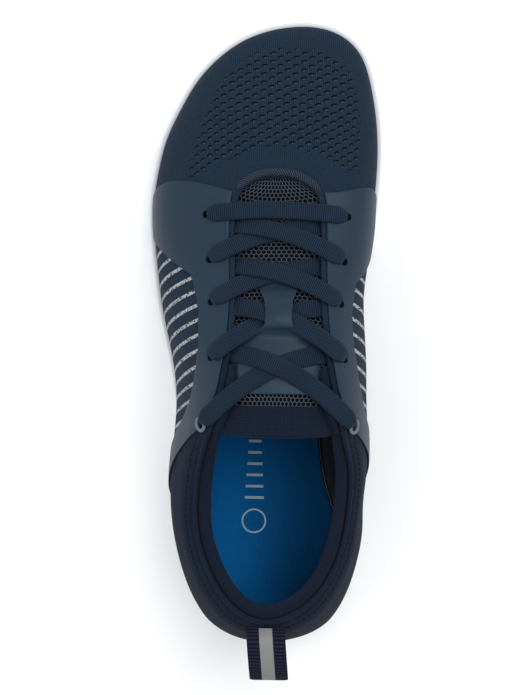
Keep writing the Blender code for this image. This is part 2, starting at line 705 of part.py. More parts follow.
def grid_normals(points):
    along = np.gradient(points, axis=0)
    across = np.gradient(points, axis=1)
    normal = np.cross(across, along)
    return normal / np.linalg.norm(normal, axis=2, keepdims=True)


def build_tongue(mesh_cloth):
    middle = tongue_rows()
    normal = grid_normals(middle)
    if normal[6, TONGUE_COLUMNS // 2 + 2, 2] < 0:
        normal = -normal
    rows = len(middle)
    thick = np.full(rows, TONGUE_WALL)
    thick[-2:] = TONGUE_WALL * 1.5
    half = normal * thick[:, None, None] / 2
    return slab("tongue", middle + half, middle - half, mesh_cloth)


PAD_START = 0.430         # station where the lining starts on either side


def build_collar_pad(lining):
    """Padded roll: a ring of cross-sections from one side round the heel to the other."""
    lateral, medial = turn_of(PAD_START, -1), turn_of(PAD_START, +1)
    steps = range(math.ceil((medial - 1) * AROUND), math.floor(lateral * AROUND) + 1)
    turns = np.array(list(steps))[::-1] / AROUND
    places = len(turns)
    # down: along the shell from its edge, in pad depths, negative above the edge, in crowns.
    profile = [
        # down, thickness
        (1.00, 0.00), (0.62, 0.00), (0.30, 0.00), (0.06, 0.00), (-0.35, 0.10), (-0.85, 0.36),
        (-1.00, 0.62), (-0.62, 0.90), (0.10, 1.02), (0.34, 0.90), (0.66, 0.52), (1.00, 0.22),
    ]
    rows = []
    ups = np.linspace(0.3, 1.0, 60)
    for place, turn in zip(np.linspace(-1, 1, places), turns):
        taper = math.sqrt(max(0.0, 1 - abs(place) ** 6))
        thick = PAD_THICKNESS * (0.25 + 0.75 * taper)
        crown = PAD_CROWN * (0.1 + 0.9 * taper)
        depth = PAD_DEPTH * (0.45 + 0.55 * taper)
        line = last_point(np.full(60, turn), ups)
        lengths = np.linalg.norm(np.diff(line, axis=0), axis=1)
        from_edge = np.append(np.cumsum(lengths[::-1])[::-1], 0.0)
        rise = line[-1] - line[-4]
        rise /= np.linalg.norm(rise)
        row = []
        for down, across in profile:
            inside = UPPER_WALL + 1.5 * FIT_GAP + across * thick
            if down >= 0:
                up = float(np.interp(down * depth, from_edge[::-1], ups[::-1]))
                row.append(off_last(np.array([turn]), np.array([up]), -inside)[0])
            else:
                base = off_last(np.array([turn]), np.array([1.0]), -inside)[0]
                row.append(base + rise * crown * -down)
        rows.append(row)
    rows = np.array(rows)
    count = rows.shape[1]
    points = rows.reshape(-1, 3)
    faces = grid_faces(places, count, closed_columns=True)
    faces.append(tuple(range(count))[::-1])
    faces.append(tuple((places - 1) * count + i for i in range(count)))
    return facing_out(solid("collar_pad", points, faces, lining))


def build_film(name, side, film):
    names = ("low_foot", "low_up", "high_foot", "high_up")
    low_foot, low_up, high_foot, high_up = (column(FILM_ROWS, n, names) for n in names)
    fine = []
    for i in range(len(FILM_ROWS) - 1):
        fine += list(np.linspace(i, i + 1, 3 if i < 7 else 5)[:-1])
    fine.append(len(FILM_ROWS) - 1)
    index = np.arange(len(FILM_ROWS))
    outer, inner = [], []
    for place in fine:
        feet = (np.interp(place, index, low_foot), np.interp(place, index, high_foot))
        ups = (np.interp(place, index, low_up), np.interp(place, index, high_up))
        ends = [turn_of(foot, -1) for foot in feet]
        across = np.linspace(0, 1, 7)
        turns = ends[0] + (ends[1] - ends[0]) * across
        if side > 0:
            turns = 1 - turns
        up = ups[0] + (ups[1] - ups[0]) * across
        outer.append(off_last(turns, up, FILM_CLEAR + FILM))
        inner.append(off_last(turns, up, FILM_CLEAR))
    return slab(name, np.array(outer), np.array(inner), film)


def build_binding(piping):
    count = 18
    turns = np.linspace(turn_of(0.872, -1), 1 - turn_of(0.872, -1), count)
    shape = [(0.952, 0.35), (0.966, 1.0), (0.984, 1.0), (0.998, 0.35)]
    outer = [off_last(turns, np.full(count, up), FIT_GAP + PIPING * high) for up, high in shape]
    inner = [off_last(turns, np.full(count, up), FIT_GAP) for up, high in shape]
    return slab("throat_binding", np.array(outer), np.array(inner), piping)



class Ground:
    """Heights of the pieces that a lace or patch lies on."""

    def __init__(self):
        self.trees = []

    def add(self, made):
        points = [v.co.copy() for v in made.data.vertices]
        faces = [tuple(p.vertices) for p in made.data.polygons]
        self.trees.append(BVHTree.FromPolygons(points, faces))
        return made

    def top(self, x, y, otherwise=None):
        best = None
        for tree in self.trees:
            hit = tree.ray_cast(Vector((x, y, 2 * INSTEP_HEIGHT)), Vector((0, 0, -1)))
            if hit[0] is not None and (best is None or hit[0].z > best):
                best = hit[0].z
        return otherwise if best is None else best


def taut(at, heights):
    """Heights of a line pulled tight over the given ones."""
    hull = []
    for i in range(len(at)):
        while len(hull) > 1:
            a, b = hull[-2], hull[-1]
            turn = (at[b] - at[a]) * (heights[i] - heights[a])
            turn -= (at[i] - at[a]) * (heights[b] - heights[a])
            if turn < 0:
                break
            hull.pop()
        hull.append(i)
    return np.interp(at, [at[i] for i in hull], [heights[i] for i in hull])


def chords_over(at, heights, every):
    """Heights at each `every`-th place, raised until the chords between them clear the line."""
    coarse = heights[::every].copy()
    for _ in range(3):
        short = heights - np.interp(at, at[::every], coarse)
        for i in range(len(coarse) - 1):
            need = max(0.0, short[i * every:(i + 1) * every + 1].max())
            coarse[i] += need
            coarse[i + 1] += need
    return coarse


def run_of_lace(start, end, ground, clear, bow, taper_start=False):
    """Box sections of one flat run between two plan points, as (points, faces)."""
    every = 4
    shares = np.linspace(0, 1, (LACE_SAMPLES - 1) * every + 1)
    start, end = np.asarray(start, float), np.asarray(end, float)
    plan = start + (end - start) * shares[:, None]
    plan[:, 1] += bow * 4 * shares * (1 - shares)
    along = np.gradient(plan, axis=0)
    along /= np.linalg.norm(along, axis=1, keepdims=True)
    side = np.column_stack([-along[:, 1], along[:, 0]])
    travelled = np.append(0, np.cumsum(np.linalg.norm(np.diff(plan, axis=0), axis=1)))
    from_end = np.minimum(travelled[-1] - travelled, travelled if taper_start else 1.0)
    half = LACE_WIDTH / 2 * np.clip(LACE_END + from_end / LACE_WIDTH * 0.7, 0, 1)
    parts = np.linspace(-1, 1, 7)
    lines = []
    for part in parts:
        spots = plan + side * (half * part)[:, None]
        lines.append([ground.top(x, y, 0.0) for x, y in spots])
    lines = np.array(lines)
    left = taut(travelled, np.maximum(lines[0], lines[1]))
    right = taut(travelled, np.maximum(lines[-1], lines[-2]))
    shares_across = (parts[:, None] + 1) / 2
    flat = left * (1 - shares_across) + right * shares_across
    lift = taut(travelled, np.maximum(0, (lines - flat).max(axis=0)))
    left = chords_over(travelled, left + lift, every) + clear
    right = chords_over(travelled, right + lift, every) + clear
    plan, side, half = plan[::every], side[::every], half[::every]
    points = []
    for i in range(LACE_SAMPLES):
        a = (*(plan[i] - side[i] * half[i]), left[i])
        b = (*(plan[i] + side[i] * half[i]), right[i])
        up = (0, 0, LACE_THICKNESS)
        points += [a, b, tuple(np.add(b, up)), tuple(np.add(a, up))]
    faces = grid_faces(LACE_SAMPLES, 4, closed_columns=True)
    last = 4 * (LACE_SAMPLES - 1)
    faces += [(3, 2, 1, 0), (last, last + 1, last + 2, last + 3)]
    return points, faces


def throat_across(station, side):
    """Where the throat's edge lies at a station, on one side."""
    turns = np.linspace(0.13, 0.47, 200)
    if side > 0:
        turns = 1 - turns
    edge = opening_edge(turns)
    order = np.argsort(edge[:, 1])
    return float(np.interp(station * LENGTH - HEEL_TO_ORIGIN, edge[order, 1], edge[order, 0]))


def hole_plan(index, side):
    station, lateral, medial = HOLES[index]
    x = (lateral if side < 0 else medial) * BALL_WIDTH
    return x, station * LENGTH - HEEL_TO_ORIGIN


def build_laces(lace, ground, bare):
    """Crossings from the top one to the front one, then the bar: later runs lie on earlier ones."""
    for index in (3, 2, 1, 0):
        under = bare if index == 2 else ground
        clear = 3 * FIT_GAP + FILM if index == 2 else FIT_GAP
        station = LACE_STARTS[index]
        y = station * LENGTH - HEEL_TO_ORIGIN
        name = f"lace_cross_{index + 1}"
        right = (throat_across(station, +1) - THROAT_CLEAR, y)
        left = (throat_across(station, -1) + THROAT_CLEAR, y)
        points, faces = run_of_lace(right, hole_plan(index + 1, -1), under, clear, LACE_BOW)
        lower = facing_out(solid(name, points, faces, lace))
        points, faces = run_of_lace(left, hole_plan(index + 1, +1), under, clear, LACE_BOW)
        upper_run = facing_out(solid(name + "_over", points, faces, lace))
        lift_over(upper_run, lower)
        combine(lower, upper_run, "UNION", "crossing")
        for made in (lower, upper_run):
            ground.add(made)
            if index > 2:
                bare.add(made)
    points, faces = run_of_lace(
        hole_plan(0, -1), hole_plan(0, +1), ground, 2 * FIT_GAP, LACE_BOW, taper_start=True
    )
    facing_out(solid("lace_bar", points, faces, lace))


def lift_over(run, other):
    """Raises a run where it passes over another one, so that it is sunk in it a little."""
    over = Ground()
    over.add(other)
    vertices = run.data.vertices
    count = len(vertices) // 4
    need = np.zeros(count)
    for i in range(count):
        low_a, low_b = vertices[4 * i].co, vertices[4 * i + 1].co
        for share in np.linspace(0, 1, 5):
            spot = low_a.lerp(low_b, share)
            top = over.top(spot.x, spot.y)
            if top is not None:
                need[i] = max(need[i], top - LACE_THICKNESS * 0.22 - spot.z)
    at = np.arange(count, dtype=float)
    raised = taut(at, need)
    for i in range(count):
        for k in range(4):
            vertices[4 * i + k].co.z += raised[i]
    run.data.update()


def build_patch(film, tongue_ground):
    """Film on the tongue, with a bridge that stands off it over the third crossing."""
    across = np.linspace(-0.5, 0.5, 6)
    outer, inner = [], []
    for station, width, lift in PATCH_ROWS:
        y = station * LENGTH - HEEL_TO_ORIGIN
        middle = (throat_across(station, -1) + throat_across(station, +1)) / 2
        xs = middle + across * width * BALL_WIDTH
        low = np.array([tongue_ground.top(x, y, 0.0) for x in xs]) + 2.6 * FIT_GAP
        low += lift * LACE_THICKNESS
        inner.append(np.column_stack([xs, np.full(6, y), low]))
        outer.append(np.column_stack([xs, np.full(6, y), low + FILM]))
    return slab("tongue_patch", np.array(outer), np.array(inner), film)


def hole_frame(index, side, tree):
    """Centre and normal of the outer surface at a lace hole."""
    x, y = hole_plan(index, side)
    spot, normal, _, _ = tree.ray_cast(Vector((x, y, 2 * INSTEP_HEIGHT)), Vector((0, 0, -1)))
    return spot, normal if normal.z > 0 else -normal


def disc_frame(normal):
    u = normal.cross(Vector((0, 1, 0))).normalized()
    return u, normal.cross(u)


def build_holes(tree):
    """Cutter for the ten lace holes: short rods through film and shell."""
    sides = 10
    reach = UPPER_WALL + FILM + 0.0025
    points, faces = [], []
    for index in range(len(HOLES)):
        for side in (-1, 1):
            spot, normal = hole_frame(index, side, tree)
            u, v = disc_frame(normal)
            rings = []
            for along in (-reach, reach):
                ring_points = []
                for k in range(sides):
                    angle = 2 * math.pi * k / sides
                    place = spot + normal * along
                    place = place + u * (EYELET_RADIUS * math.cos(angle))
                    ring_points.append(tuple(place + v * (EYELET_RADIUS * math.sin(angle))))
                rings.append(ring_points)
            prism(points, faces, *rings)
    return facing_out(solid("lace_holes", points, faces, None))


def build_rings(ring_colour, film_trees, shell_tree):
    """Rims of the top pair of holes, lying on the film."""
    around, section = 12, 4
    middle = (RING_RADIUS + EYELET_RADIUS) / 2
    half = (RING_RADIUS - EYELET_RADIUS) / 2 - 0.0001
    made = []
    for side, name in ((-1, "eyelet_lateral"), (1, "eyelet_medial")):
        spot, normal = hole_frame(len(HOLES) - 1, side, film_trees[side])
        u, v = disc_frame(normal)
        outs = []
        for k in range(around * 4):
            angle = 2 * math.pi * k / (around * 4)
            outs.append(u * math.cos(angle) + v * math.sin(angle))
        # The rim stands on the highest places of the film and the shell below it.
        lift = 0.0
        for out in outs:
            for away in np.linspace(EYELET_RADIUS * 0.95, RING_RADIUS * 1.05, 8):
                start = spot + out * float(away) + normal * RING_RADIUS * 2
                for tree in (film_trees[side], shell_tree):
                    hit = tree.ray_cast(start, -normal, 4 * RING_RADIUS)
                    if hit[0] is not None:
                        lift = max(lift, (hit[0] - spot).dot(normal))
        rows = []
        for out in outs[::4]:
            row = []
            for a, b in ((-half, 0), (half, 0), (half * 0.6, 0.0007), (-half * 0.6, 0.0007)):
                up = lift + FIT_GAP + b
                row.append(tuple(spot + out * (middle + a) + normal * up))
            rows.append(row)
        points = [p for row in rows for p in row]
        faces = grid_faces(around, section, closed_rows=True, closed_columns=True)
        made.append(facing_out(solid(name, points, faces, ring_colour)))
    return made


# Side view of the pull loop's middle line. back: behind the shell's edge at the heel, in loop
# reaches; up: from that edge, in heel heights.
LOOP_LINE = [
    # back, up
    (-0.02, +0.010),
    (0.30, +0.035),
    (0.66, -0.005),
    (0.92, -0.090),
    (1.00, -0.180),
    (0.93, -0.270),
    (0.72, -0.330),
    (0.46, -0.380),
]


def build_pull_loop(webbing):
    """Webbing folded into a loop, outside the heel: one end at the edge, the other lower down."""
    edge = opening_edge(np.array([0.0]))[0]
    height = edge[2]
    line = []
    for back, up in LOOP_LINE:
        line.append((edge[1] - LOOP_REACH * back, edge[2] + height * up))
    line = np.array(line)
    # Both ends stand on the heel's outer surface.
    ups = np.linspace(0, 1, 120)
    heel = last_point(np.zeros(120), ups)
    for end in (0, -1):
        share = np.interp(line[end, 1], heel[:, 2], ups)
        if end == 0:
            share = 0.93
        spot = off_last(np.array([0.0]), np.array([share]), FIT_GAP + LOOP_WEBBING / 2)[0]
        line[end] = spot[1:]
    fine = np.linspace(0, len(line) - 1, 17)
    smooth = np.array([catmull(line, place) for place in fine])
    direction = np.gradient(smooth, axis=0)
    direction /= np.linalg.norm(direction, axis=1, keepdims=True)
    normal = np.column_stack([-direction[:, 1], direction[:, 0]])
    outer, inner = [], []
    middle_x = edge[0]
    for p, n in zip(smooth, normal):
        for rows, way in ((outer, 0.5), (inner, -0.5)):
            spot = p + n * LOOP_WEBBING * way
            rows.append([
                (middle_x - LOOP_WIDTH / 2, spot[0], spot[1]),
                (middle_x + LOOP_WIDTH / 2, spot[0], spot[1]),
            ])
    return slab("pull_loop", np.array(outer), np.array(inner), webbing)


def catmull(points, place):
    """Point on a smooth line through a row of points."""
    last = len(points) - 1
    i = min(int(place), last - 1)
    u = place - i
    a = points[max(i - 1, 0)]
    b, c = points[i], points[i + 1]
    d = points[min(i + 2, last)]
    return 0.5 * (
        2 * b + (c - a) * u + (2 * a - 5 * b + 4 * c - d) * u**2 + (3 * b - a - 3 * c + d) * u**3
    )


def clear_scene():
    for made in list(bpy.data.objects):
        bpy.data.objects.remove(made, do_unlink=True)


def main():
    clear_scene()
    rubber = colour("sole_rubber", (0.66, 0.69, 0.73), 0.55)
    foam = colour("insole_foam", (0.010, 0.085, 0.235), 0.85)
    knit = colour("knit", (0.016, 0.030, 0.062), 0.85)
    lining = colour("collar_cloth", (0.014, 0.026, 0.056), 0.90)
    mesh_cloth = colour("tongue_mesh", (0.030, 0.036, 0.048), 0.90)
    film = colour("film", (0.032, 0.052, 0.080), 0.50)
    piping = colour("piping", (0.050, 0.056, 0.075), 0.90)
    lace = colour("lace", (0.022, 0.036, 0.062), 0.80)
    ring_colour = colour("eyelet_ring", (0.30, 0.32, 0.35), 0.45)
    webbing = colour("webbing", (0.014, 0.016, 0.034), 0.85)
    build_outsole(rubber)
    build_insole(foam)
    upper = build_upper(knit)
    tongue = build_tongue(mesh_cloth)
    build_collar_pad(lining)
    films = {
        -1: build_film("overlay_lateral", -1, film),
        +1: build_film("overlay_medial", +1, film),
    }
    binding = build_binding(piping)
    tongue_ground = Ground()
    tongue_ground.add(tongue)
    patch = build_patch(film, tongue_ground)
    ground, bare = Ground(), Ground()
    for made in (upper, tongue, binding, films[-1], films[+1]):
        ground.add(made)
        bare.add(made)
    ground.add(patch)
    film_trees = {-1: ground.trees[3], +1: ground.trees[4]}
    holes = build_holes(ground.trees[0])
    for made in (upper, films[-1], films[+1]):
        combine(made, holes, "DIFFERENCE", "lace holes")
    for made in build_rings(ring_colour, film_trees, ground.trees[0]):
        ground.add(made)
    build_laces(lace, ground, bare)
    build_pull_loop(webbing)


main()
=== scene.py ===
"""Barefoot shoe, left foot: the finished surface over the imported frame.

Run as a script it builds the shoe and its stage; as an add-on it offers the same steps as
operators in the sidebar. Metres, +Z up, +Y to the toe, +X to the inner side of the foot.
"""

import json
import math

import bmesh
import bpy
import numpy as np
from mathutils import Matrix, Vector
from mathutils.bvhtree import BVHTree

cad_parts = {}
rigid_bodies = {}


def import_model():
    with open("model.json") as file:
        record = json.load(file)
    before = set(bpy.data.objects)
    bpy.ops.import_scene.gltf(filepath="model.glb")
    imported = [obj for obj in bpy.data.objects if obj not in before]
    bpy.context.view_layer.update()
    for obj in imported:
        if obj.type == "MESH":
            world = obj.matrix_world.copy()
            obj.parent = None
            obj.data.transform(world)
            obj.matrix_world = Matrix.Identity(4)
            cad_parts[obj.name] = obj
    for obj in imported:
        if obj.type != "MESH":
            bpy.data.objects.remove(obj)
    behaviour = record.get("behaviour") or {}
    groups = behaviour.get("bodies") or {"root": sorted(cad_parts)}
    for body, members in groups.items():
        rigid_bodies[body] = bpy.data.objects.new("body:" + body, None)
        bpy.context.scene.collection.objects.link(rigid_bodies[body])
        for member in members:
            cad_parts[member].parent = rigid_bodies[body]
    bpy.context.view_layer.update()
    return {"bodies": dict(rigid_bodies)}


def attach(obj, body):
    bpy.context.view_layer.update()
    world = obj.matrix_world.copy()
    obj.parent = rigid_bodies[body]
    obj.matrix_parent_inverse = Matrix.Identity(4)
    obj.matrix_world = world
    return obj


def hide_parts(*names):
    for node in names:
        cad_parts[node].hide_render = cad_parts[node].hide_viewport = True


bl_info = {
    "name": "Barefoot Shoe",
    "version": (1, 0, 0),
    "blender": (4, 5, 0),
    "location": "View3D > Sidebar > Shoe",
    "description": "Builds a laced knitted barefoot shoe with a lugged rubber sole",
    "category": "Add Mesh",
}

# Sizes in metres. The tables below give shares of the first three, the rim and its wall.
LENGTH = 0.280
BALL_WIDTH = 0.106
INSTEP_HEIGHT = 0.078
HEEL_TO_ORIGIN = 0.060
RIM_HEIGHT = 0.0165
RIM_WALL = 0.0022
SOLE_BASE = 0.0026
LUG_HEIGHT = 0.0028
TOE_SPRING = 0.0085
HEEL_SPRING = 0.0025
UPPER_WALL = 0.0020
FIT_GAP = 0.0003
BASE_TOP = LUG_HEIGHT + SOLE_BASE
BLOCK_ALONG = 0.0080
BLOCK_ACROSS = 0.0080
BLOCK_UP = 0.0068
TOE_GROOVE = 0.0017
ARCH_PANEL_DROP = 0.0010
TREAD_ROOT = LUG_HEIGHT + 0.0006          # how far tread pieces reach into the base
LACE_THICKNESS = 0.0014
CLOTH_MAP = "cloth"

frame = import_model()

# Sole outline. station: along; medial, lateral: across; rim: share of RIM_HEIGHT above the tread;
# tuck: how far the bottom edge lies inside the top edge on the medial side, share of RIM_WALL.
OUTLINE = [
    # station, medial, lateral, rim, tuck
    (0.000, +0.012, +0.012, 1.08, 0.9),
    (0.016, +0.207, -0.154, 1.08, 0.9),
    (0.039, +0.280, -0.219, 1.07, 0.9),
    (0.086, +0.344, -0.287, 1.05, 0.9),
    (0.157, +0.376, -0.332, 1.00, 0.9),
    (0.204, +0.375, -0.352, 0.97, 1.0),
    (0.251, +0.344, -0.364, 0.94, 1.3),
    (0.321, +0.324, -0.372, 0.90, 1.9),
    (0.391, +0.315, -0.388, 0.88, 2.2),
    (0.462, +0.326, -0.421, 0.87, 2.1),
    (0.532, +0.347, -0.465, 0.86, 1.7),
    (0.579, +0.372, -0.485, 0.86, 1.3),
    (0.626, +0.417, -0.500, 0.86, 1.0),
    (0.674, +0.458, -0.511, 0.86, 0.7),
    (0.720, +0.473, -0.510, 0.86, 0.7),
    (0.768, +0.482, -0.491, 0.86, 0.7),
    (0.814, +0.482, -0.460, 0.86, 0.7),
    (0.861, +0.470, -0.403, 0.86, 0.7),
    (0.908, +0.445, -0.330, 0.87, 0.7),
    (0.955, +0.397, -0.210, 0.90, 0.7),
    (0.979, +0.336, -0.109, 0.92, 0.7),
    (1.000, +0.141, +0.141, 0.93, 0.7),
]
LATERAL_TUCK = 0.8        # share of RIM_WALL

# Sections of the last, round the shoe from the heel over the lateral side to the toe and back.
# foot: station where the section leaves the sole; edge_x, edge_s, edge_z: the opening's edge;
# lean: how far the first handle leans out, across; rise: its height, share of the section's;
# reach: how far the second handle lies outside the edge, across; drop: below it, share.
SECTIONS = [
    # side, foot, edge_x, edge_s, edge_z, lean, rise, reach, drop
    (-1, 0.000, +0.017, 0.055, 0.821, 0.020, 0.30, 0.080, 0.25),
    (-1, 0.021, -0.070, 0.063, 0.814, 0.030, 0.30, 0.075, 0.25),
    (-1, 0.079, -0.159, 0.090, 0.782, 0.045, 0.30, 0.070, 0.25),
    (-1, 0.161, -0.243, 0.144, 0.718, 0.070, 0.31, 0.060, 0.25),
    (-1, 0.236, -0.286, 0.214, 0.673, 0.075, 0.33, 0.045, 0.25),
    (-1, 0.300, -0.269, 0.290, 0.744, 0.065, 0.33, 0.060, 0.25),
    (-1, 0.350, -0.237, 0.333, 0.859, 0.050, 0.32, 0.085, 0.22),
    (-1, 0.400, -0.203, 0.372, 0.936, 0.035, 0.32, 0.110, 0.18),
    (-1, 0.457, -0.172, 0.426, 0.962, 0.025, 0.33, 0.140, 0.16),
    (-1, 0.536, -0.147, 0.484, 0.910, 0.020, 0.36, 0.160, 0.14),
    (-1, 0.614, -0.138, 0.551, 0.808, 0.020, 0.40, 0.170, 0.13),
    (-1, 0.696, -0.145, 0.625, 0.705, 0.020, 0.45, 0.180, 0.13),
    (-1, 0.771, -0.143, 0.682, 0.635, 0.020, 0.50, 0.190, 0.13),
    (-1, 0.857, -0.121, 0.718, 0.603, 0.020, 0.52, 0.220, 0.15),
    (-1, 0.936, -0.057, 0.737, 0.590, 0.025, 0.52, 0.280, 0.20),
    (+1, 1.000, +0.035, 0.743, 0.590, 0.028, 0.52, 0.320, 0.22),
    (+1, 0.936, +0.136, 0.737, 0.590, 0.025, 0.52, 0.280, 0.20),
    (+1, 0.857, +0.200, 0.718, 0.603, 0.020, 0.52, 0.220, 0.15),
    (+1, 0.771, +0.226, 0.682, 0.635, 0.020, 0.50, 0.170, 0.13),
    (+1, 0.696, +0.228, 0.625, 0.705, 0.030, 0.45, 0.170, 0.13),
    (+1, 0.614, +0.231, 0.551, 0.808, 0.090, 0.37, 0.165, 0.13),
    (+1, 0.536, +0.244, 0.484, 0.910, 0.160, 0.31, 0.150, 0.14),
    (+1, 0.457, +0.270, 0.426, 0.962, 0.210, 0.28, 0.130, 0.15),
    (+1, 0.400, +0.302, 0.372, 0.936, 0.215, 0.28, 0.100, 0.17),
    (+1, 0.350, +0.328, 0.333, 0.859, 0.195, 0.29, 0.075, 0.20),
    (+1, 0.300, +0.358, 0.291, 0.763, 0.150, 0.31, 0.050, 0.25),
    (+1, 0.236, +0.355, 0.214, 0.699, 0.100, 0.33, 0.030, 0.27),
    (+1, 0.161, +0.311, 0.145, 0.731, 0.070, 0.32, 0.040, 0.27),
    (+1, 0.079, +0.219, 0.091, 0.788, 0.045, 0.30, 0.060, 0.25),
    (+1, 0.021, +0.111, 0.063, 0.814, 0.030, 0.30, 0.075, 0.25),
]

# Lines of tread lugs. points: +1 towards the toe, -1 towards the heel; x, s: tip of the first
# lug; step_x, step_s: to the next; count; width: across; height: along.
LUG_LINES = [
    # points, x, s, step_x, step_s, count, width, height
    (+1, +0.289, 0.894, -0.195, -0.005, 2, 0.126, 0.039),
    (+1, -0.113, 0.871, 0.0, 0.0, 1, 0.149, 0.039),
    (+1, +0.292, 0.850, -0.184, -0.002, 2, 0.141, 0.039),
    (+1, -0.285, 0.840, 0.0, 0.0, 1, 0.117, 0.039),
    (+1, +0.302, 0.801, -0.203, -0.005, 2, 0.144, 0.039),
    (+1, -0.136, 0.810, -0.204, -0.021, 2, 0.143, 0.039),
    (+1, +0.315, 0.745, -0.185, +0.004, 2, 0.146, 0.039),
    (+1, -0.042, 0.761, 0.0, 0.0, 1, 0.150, 0.039),
    (+1, +0.270, 0.698, -0.172, +0.003, 3, 0.139, 0.039),
    (+1, +0.216, 0.644, -0.161, +0.003, 3, 0.112, 0.039),
    (+1, +0.117, 0.602, -0.149, +0.003, 2, 0.113, 0.037),
    (-1, -0.218, 0.704, -0.172, +0.001, 2, 0.126, 0.040),
    (-1, -0.235, 0.653, -0.154, 0.000, 2, 0.113, 0.038),
    (-1, -0.258, 0.607, -0.135, -0.002, 2, 0.114, 0.033),
    (-1, -0.204, 0.564, -0.149, -0.004, 2, 0.107, 0.036),
    (-1, +0.110, 0.520, 0.0, 0.0, 1, 0.085, 0.031),
    (-1, -0.109, 0.529, -0.176, -0.012, 2, 0.112, 0.035),
    (-1, -0.001, 0.482, -0.133, -0.004, 3, 0.102, 0.031),
    (-1, -0.073, 0.424, -0.151, 0.000, 2, 0.121, 0.041),
    (-1, -0.022, 0.388, -0.105, -0.003, 3, 0.093, 0.029),
    (-1, +0.006, 0.351, -0.119, -0.003, 3, 0.088, 0.027),
    (-1, +0.051, 0.310, -0.134, -0.003, 3, 0.098, 0.030),
    (-1, +0.097, 0.262, -0.149, -0.001, 3, 0.106, 0.034),
    (-1, +0.165, 0.211, 0.0, 0.0, 1, 0.114, 0.028),
    (-1, -0.019, 0.199, 0.0, 0.0, 1, 0.137, 0.044),
    (-1, -0.196, 0.226, 0.0, 0.0, 1, 0.114, 0.032),
    (-1, +0.051, 0.145, -0.183, -0.004, 2, 0.148, 0.045),
    (-1, +0.048, 0.105, -0.137, -0.002, 2, 0.110, 0.035),
    (-1, -0.010, 0.057, 0.0, 0.0, 1, 0.119, 0.041),
]

# Blocks along the edge. side; first, last: stations; count; proud: beyond the wall, metres.
EDGE_BLOCKS = [
    # side, first, last, count, proud
    (-1, 0.203, 0.763, 14, +0.0001),
    (+1, 0.617, 0.867, 6, -0.0004),
]
# Toe bars in columns. x_from, x_to: across; slope: along per across; grooves: stations at x_from.
TOE_BARS = [
    # x_from, x_to, slope, grooves between the bars
    (+0.455, +0.175, +0.00, (0.898, 0.925, 0.952, 0.974, 1.000)),
    (+0.130, -0.014, -0.16, (0.895, 0.922, 0.950, 0.973, 0.994)),
    (-0.064, -0.200, -0.36, (0.872, 0.900, 0.928, 0.952, 0.972)),
    (-0.240, -0.480, -0.82, (0.856, 0.880, 0.902, 0.925)),
]
# Smooth arch panel: stations and how far its two edges lie from the medial rim, across.
ARCH_PANEL = [
    # station, outer, inner
    (0.590, 0.035, 0.085),
    (0.545, 0.050, 0.140),
    (0.518, 0.050, 0.240),
    (0.489, 0.050, 0.285),
    (0.457, 0.050, 0.310),
    (0.434, 0.050, 0.315),
    (0.403, 0.050, 0.300),
    (0.346, 0.050, 0.245),
    (0.321, 0.050, 0.200),
    (0.293, 0.050, 0.150),
    (0.268, 0.045, 0.095),
]
# Welded film on each side, in sections from the tail to the front. foot and up: station of the
# foot and height on the section, for the lower and the upper edge.
FILM_ROWS = [
    # low_foot, low_up, high_foot, high_up
    (0.245, 0.03, 0.204, 0.03),
    (0.290, 0.25, 0.250, 0.30),
    (0.335, 0.45, 0.300, 0.55),
    (0.380, 0.60, 0.345, 0.76),
    (0.420, 0.68, 0.385, 0.92),
    (0.455, 0.72, 0.440, 0.975),
    (0.520, 0.74, 0.530, 0.975),
    (0.583, 0.73, 0.610, 0.975),
    (0.636, 0.67, 0.660, 0.975),
    (0.652, 0.03, 0.700, 0.975),
    (0.676, 0.03, 0.770, 0.975),
    (0.725, 0.03, 0.830, 0.965),
]

# Lace holes, front to top: station, and where they lie across on either side.
HOLES = [
    # station, lateral, medial
    (0.680, -0.259, +0.331),
    (0.609, -0.240, +0.317),
    (0.543, -0.228, +0.303),
    (0.459, -0.223, +0.317),
    (0.357, -0.253, +0.355),
]

# Stations where the crossings leave the edge of the throat, front to top
LACE_STARTS = (0.664, 0.600, 0.536, 0.466)

# Smooth patch on the tongue with its bridge over the third crossing. station; width: across;
# lift: how far it stands off the tongue, in lace thicknesses.
PATCH_ROWS = [
    # station, width, lift
    (0.405, 0.300, 0.0),
    (0.425, 0.320, 0.0),
    (0.445, 0.330, 0.0),
    (0.464, 0.325, 0.0),
    (0.478, 0.315, 0.0),
    (0.490, 0.280, 0.2),
    (0.499, 0.180, 1.6),
    (0.507, 0.118, 3.4),
    (0.518, 0.106, 4.3),
    (0.531, 0.106, 4.3),
    (0.546, 0.116, 3.4),
    (0.557, 0.140, 1.7),
    (0.567, 0.150, 0.2),
    (0.577, 0.105, 0.0),
]


def column(table, name, names):
    return np.array([row[names.index(name)] for row in table], float)


def unit(vectors):
    return vectors / np.linalg.norm(vectors, axis=-1, keepdims=True)


def travel(points):
    """Distance gone along a line of points, at each of them."""
    return np.append(0, np.cumsum(np.linalg.norm(np.diff(points, axis=0), axis=1)))


def along_foot(station):
    """Y of a station, in metres."""
    return station * LENGTH - HEEL_TO_ORIGIN


def station_of(turns):
    """Station of places round the loop."""
    return (1 - np.cos(2 * np.pi * np.asarray(turns))) / 2


def full_turn(count):
    """Equal steps of angle round a circle."""
    return np.linspace(0, 2 * math.pi, count, endpoint=False)


